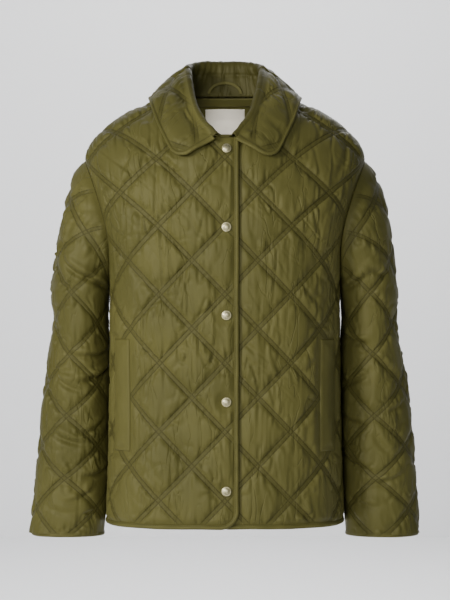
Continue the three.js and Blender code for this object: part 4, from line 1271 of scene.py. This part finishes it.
# radius, height
SNAP_PROFILE = [
    (0.0, 0.0),
    (6.2, 0.0),
    (6.9, 0.5),
    (7.1, 1.1),
    (6.8, 1.75),
    (6.2, 2.0),
    (5.7, 1.85),
    (5.3, 2.0),
    (4.2, 2.75),
    (2.6, 3.2),
    (1.1, 3.38),
    (0.0, 3.42),
]


def snap_finish():
    settings = {"Metallic": 1.0, "Coat Weight": 0.25, "Coat Roughness": 0.2}
    material, wire, shader = principled("antique_brass", settings)
    worn = specks(object_place(wire), 420.0, 3.0).band(0.35, 0.7)
    colour = worn.mixed((0.4, 0.36, 0.19, 1), (0.62, 0.57, 0.36, 1))
    feed(material, shader, "Base Color", colour)
    feed(material, shader, "Roughness", 0.5 - worn * 0.08)
    return material


antique_brass = snap_finish()


def make_snap(number, height):
    sides = SNAP_SIDES
    angles = np.arange(sides) * 2 * math.pi / sides
    rings = SNAP_PROFILE[1:-1]
    points = [[0, 0, SNAP_PROFILE[0][1]]]
    points += [[r * math.cos(a), r * math.sin(a), z] for r, z in rings for a in angles]
    points += [[0, 0, SNAP_PROFILE[-1][1]]]
    points = np.array(points)
    faces = []
    for k in range(sides):
        following = (k + 1) % sides
        faces.append([0, 1 + following, 1 + k])
        for ring in range(len(rings) - 1):
            low, high = 1 + ring * sides, 1 + (ring + 1) * sides
            faces.append([low + k, low + following, high + following, high + k])
        last = 1 + (len(rings) - 1) * sides
        faces.append([last + k, last + following, len(points) - 1])
    at = np.array([SNAP_U]), np.array([height])
    foot, tip = [on_upper_front(*at, np.array([w]))[0] for w in (WALL + 0.5, WALL + 10.5)]
    turn = np.array(Vector(tip - foot).to_track_quat("Z", "Y").to_matrix())
    name = f"snap_{number}"
    piece = make_mesh(name + "_cap", points @ turn.T + foot, faces, antique_brass)
    stand_for(piece, name)


for number, height in enumerate(SNAP_HEIGHTS, 1):
    make_snap(number, height)


# Inside the back neck: a stitched facing that covers the neck seam, a plain cream woven label
# below it, and a narrow hanger loop on the stand.
FACING_WIDTH, FACING_ENDS = 15.0, 0.74
LABEL_WIDTH, LABEL_HEIGHT = 60.0, 42.0
LOOP_REACH, LOOP_RISE, LOOP_WIDTH, LOOP_THICK = 26.0, 19.0, 5.0, 1.2


def inside_back(name, node, grid, thick, material, wrinkles):
    u, h = grid[..., 0].ravel(), grid[..., 1].ravel()
    rows, columns = grid.shape[:2]
    away = np.minimum(
        np.minimum(np.arange(rows), rows - 1 - np.arange(rows))[:, None],
        np.minimum(np.arange(columns), columns - 1 - np.arange(columns))[None, :],
    ).ravel()
    relief = wrinkles * noise(u / 16, h / 9, len(name)) * smooth(away, 0, 3)
    inner = on_body(u, h, -0.5 - thick - np.maximum(relief, -thick * 0.5))
    points = np.concatenate([on_body(u, h, -0.4), inner])
    piece = make_mesh(name, points, grid_faces(rows, columns), material)
    stand_for(piece, node)
    return piece


def label_finish():
    material, wire, shader = principled("cream_label", {"Roughness": 0.75, "Sheen Weight": 0.2})
    place = object_place(wire)
    weave = {"Vector": place, "Scale": 420.0, "Distortion": 1.0}
    threads = wire.node("ShaderNodeTexWave", {"bands_direction": "Z"}, weave)
    shade = specks(place, 40.0, 3.0) * 0.6 + threads * 0.4
    feed(material, shader, "Base Color", shade.mixed((0.78, 0.71, 0.57, 1), (0.9, 0.84, 0.71, 1)))
    feed_bump(material, shader, threads, 0.35, 0.0003)
    return material


def neck_rows(inset):
    rows = []
    for t in np.linspace(-FACING_ENDS, FACING_ENDS, 80):
        u, h = beside_neck(abs(t), True, inset)
        rows.append([2 * QUARTER + math.copysign(u, t), h])
    return np.array(rows)


def make_facing():
    upper, lower = neck_rows(0.6), neck_rows(1 + FACING_WIDTH)
    near_end, far_end = np.array([lower[0], upper[0]]), np.array([lower[-1], upper[-1]])
    grid = patch(lower, far_end, upper, near_end, 2.2)
    name = "back_neck_facing"
    piece = inside_back(name + "_cloth", name, grid, 1.0, plain_nylon, 0.7)


def make_label():
    top = NECK_PATHS[True][0, 1] - 4 - FACING_WIDTH
    near, far = 2 * QUARTER - LABEL_WIDTH / 2, 2 * QUARTER + LABEL_WIDTH / 2
    low_row = np.array([[near, top - LABEL_HEIGHT], [far, top - LABEL_HEIGHT]])
    top_row = np.array([[near, top], [far, top]])
    far_side, near_side = np.array([low_row[1], top_row[1]]), np.array([low_row[0], top_row[0]])
    grid = patch(low_row, far_side, top_row, near_side, 2.0)
    name = "neck_label"
    piece = inside_back(name + "_cloth", name, grid, 0.8, label_finish(), 0.5)


make_facing()
make_label()


def make_loop():
    angles = np.linspace(0, math.pi, 50)
    section = [(-0.5, 0), (0.5, 0), (0.5, 0.8), (0.3, 1), (-0.3, 1), (-0.5, 0.8)]
    c, r, w = [], [], []
    for angle in angles:
        for side, through in section:
            c.append(-math.cos(angle) * (LOOP_REACH + side * LOOP_WIDTH))
            r.append(4 + math.sin(angle) * (LOOP_RISE + side * LOOP_WIDTH))
            w.append(COLLAR_WALL + 1.6 + 1.5 * math.sin(angle) + through * LOOP_THICK)
    points = on_collar(np.array(c), np.array(r), np.array(w))
    faces = outward(points, strip_faces(len(angles), len(section), False))
    along = np.repeat(angles * 20, len(section))
    quilt = np.stack([along, 0 * along, 0 * along], -1)
    piece = make_mesh("hanger_loop_cloth", points, faces, binding_nylon, quilt)
    stand_for(piece, "hanger_loop")


make_loop()
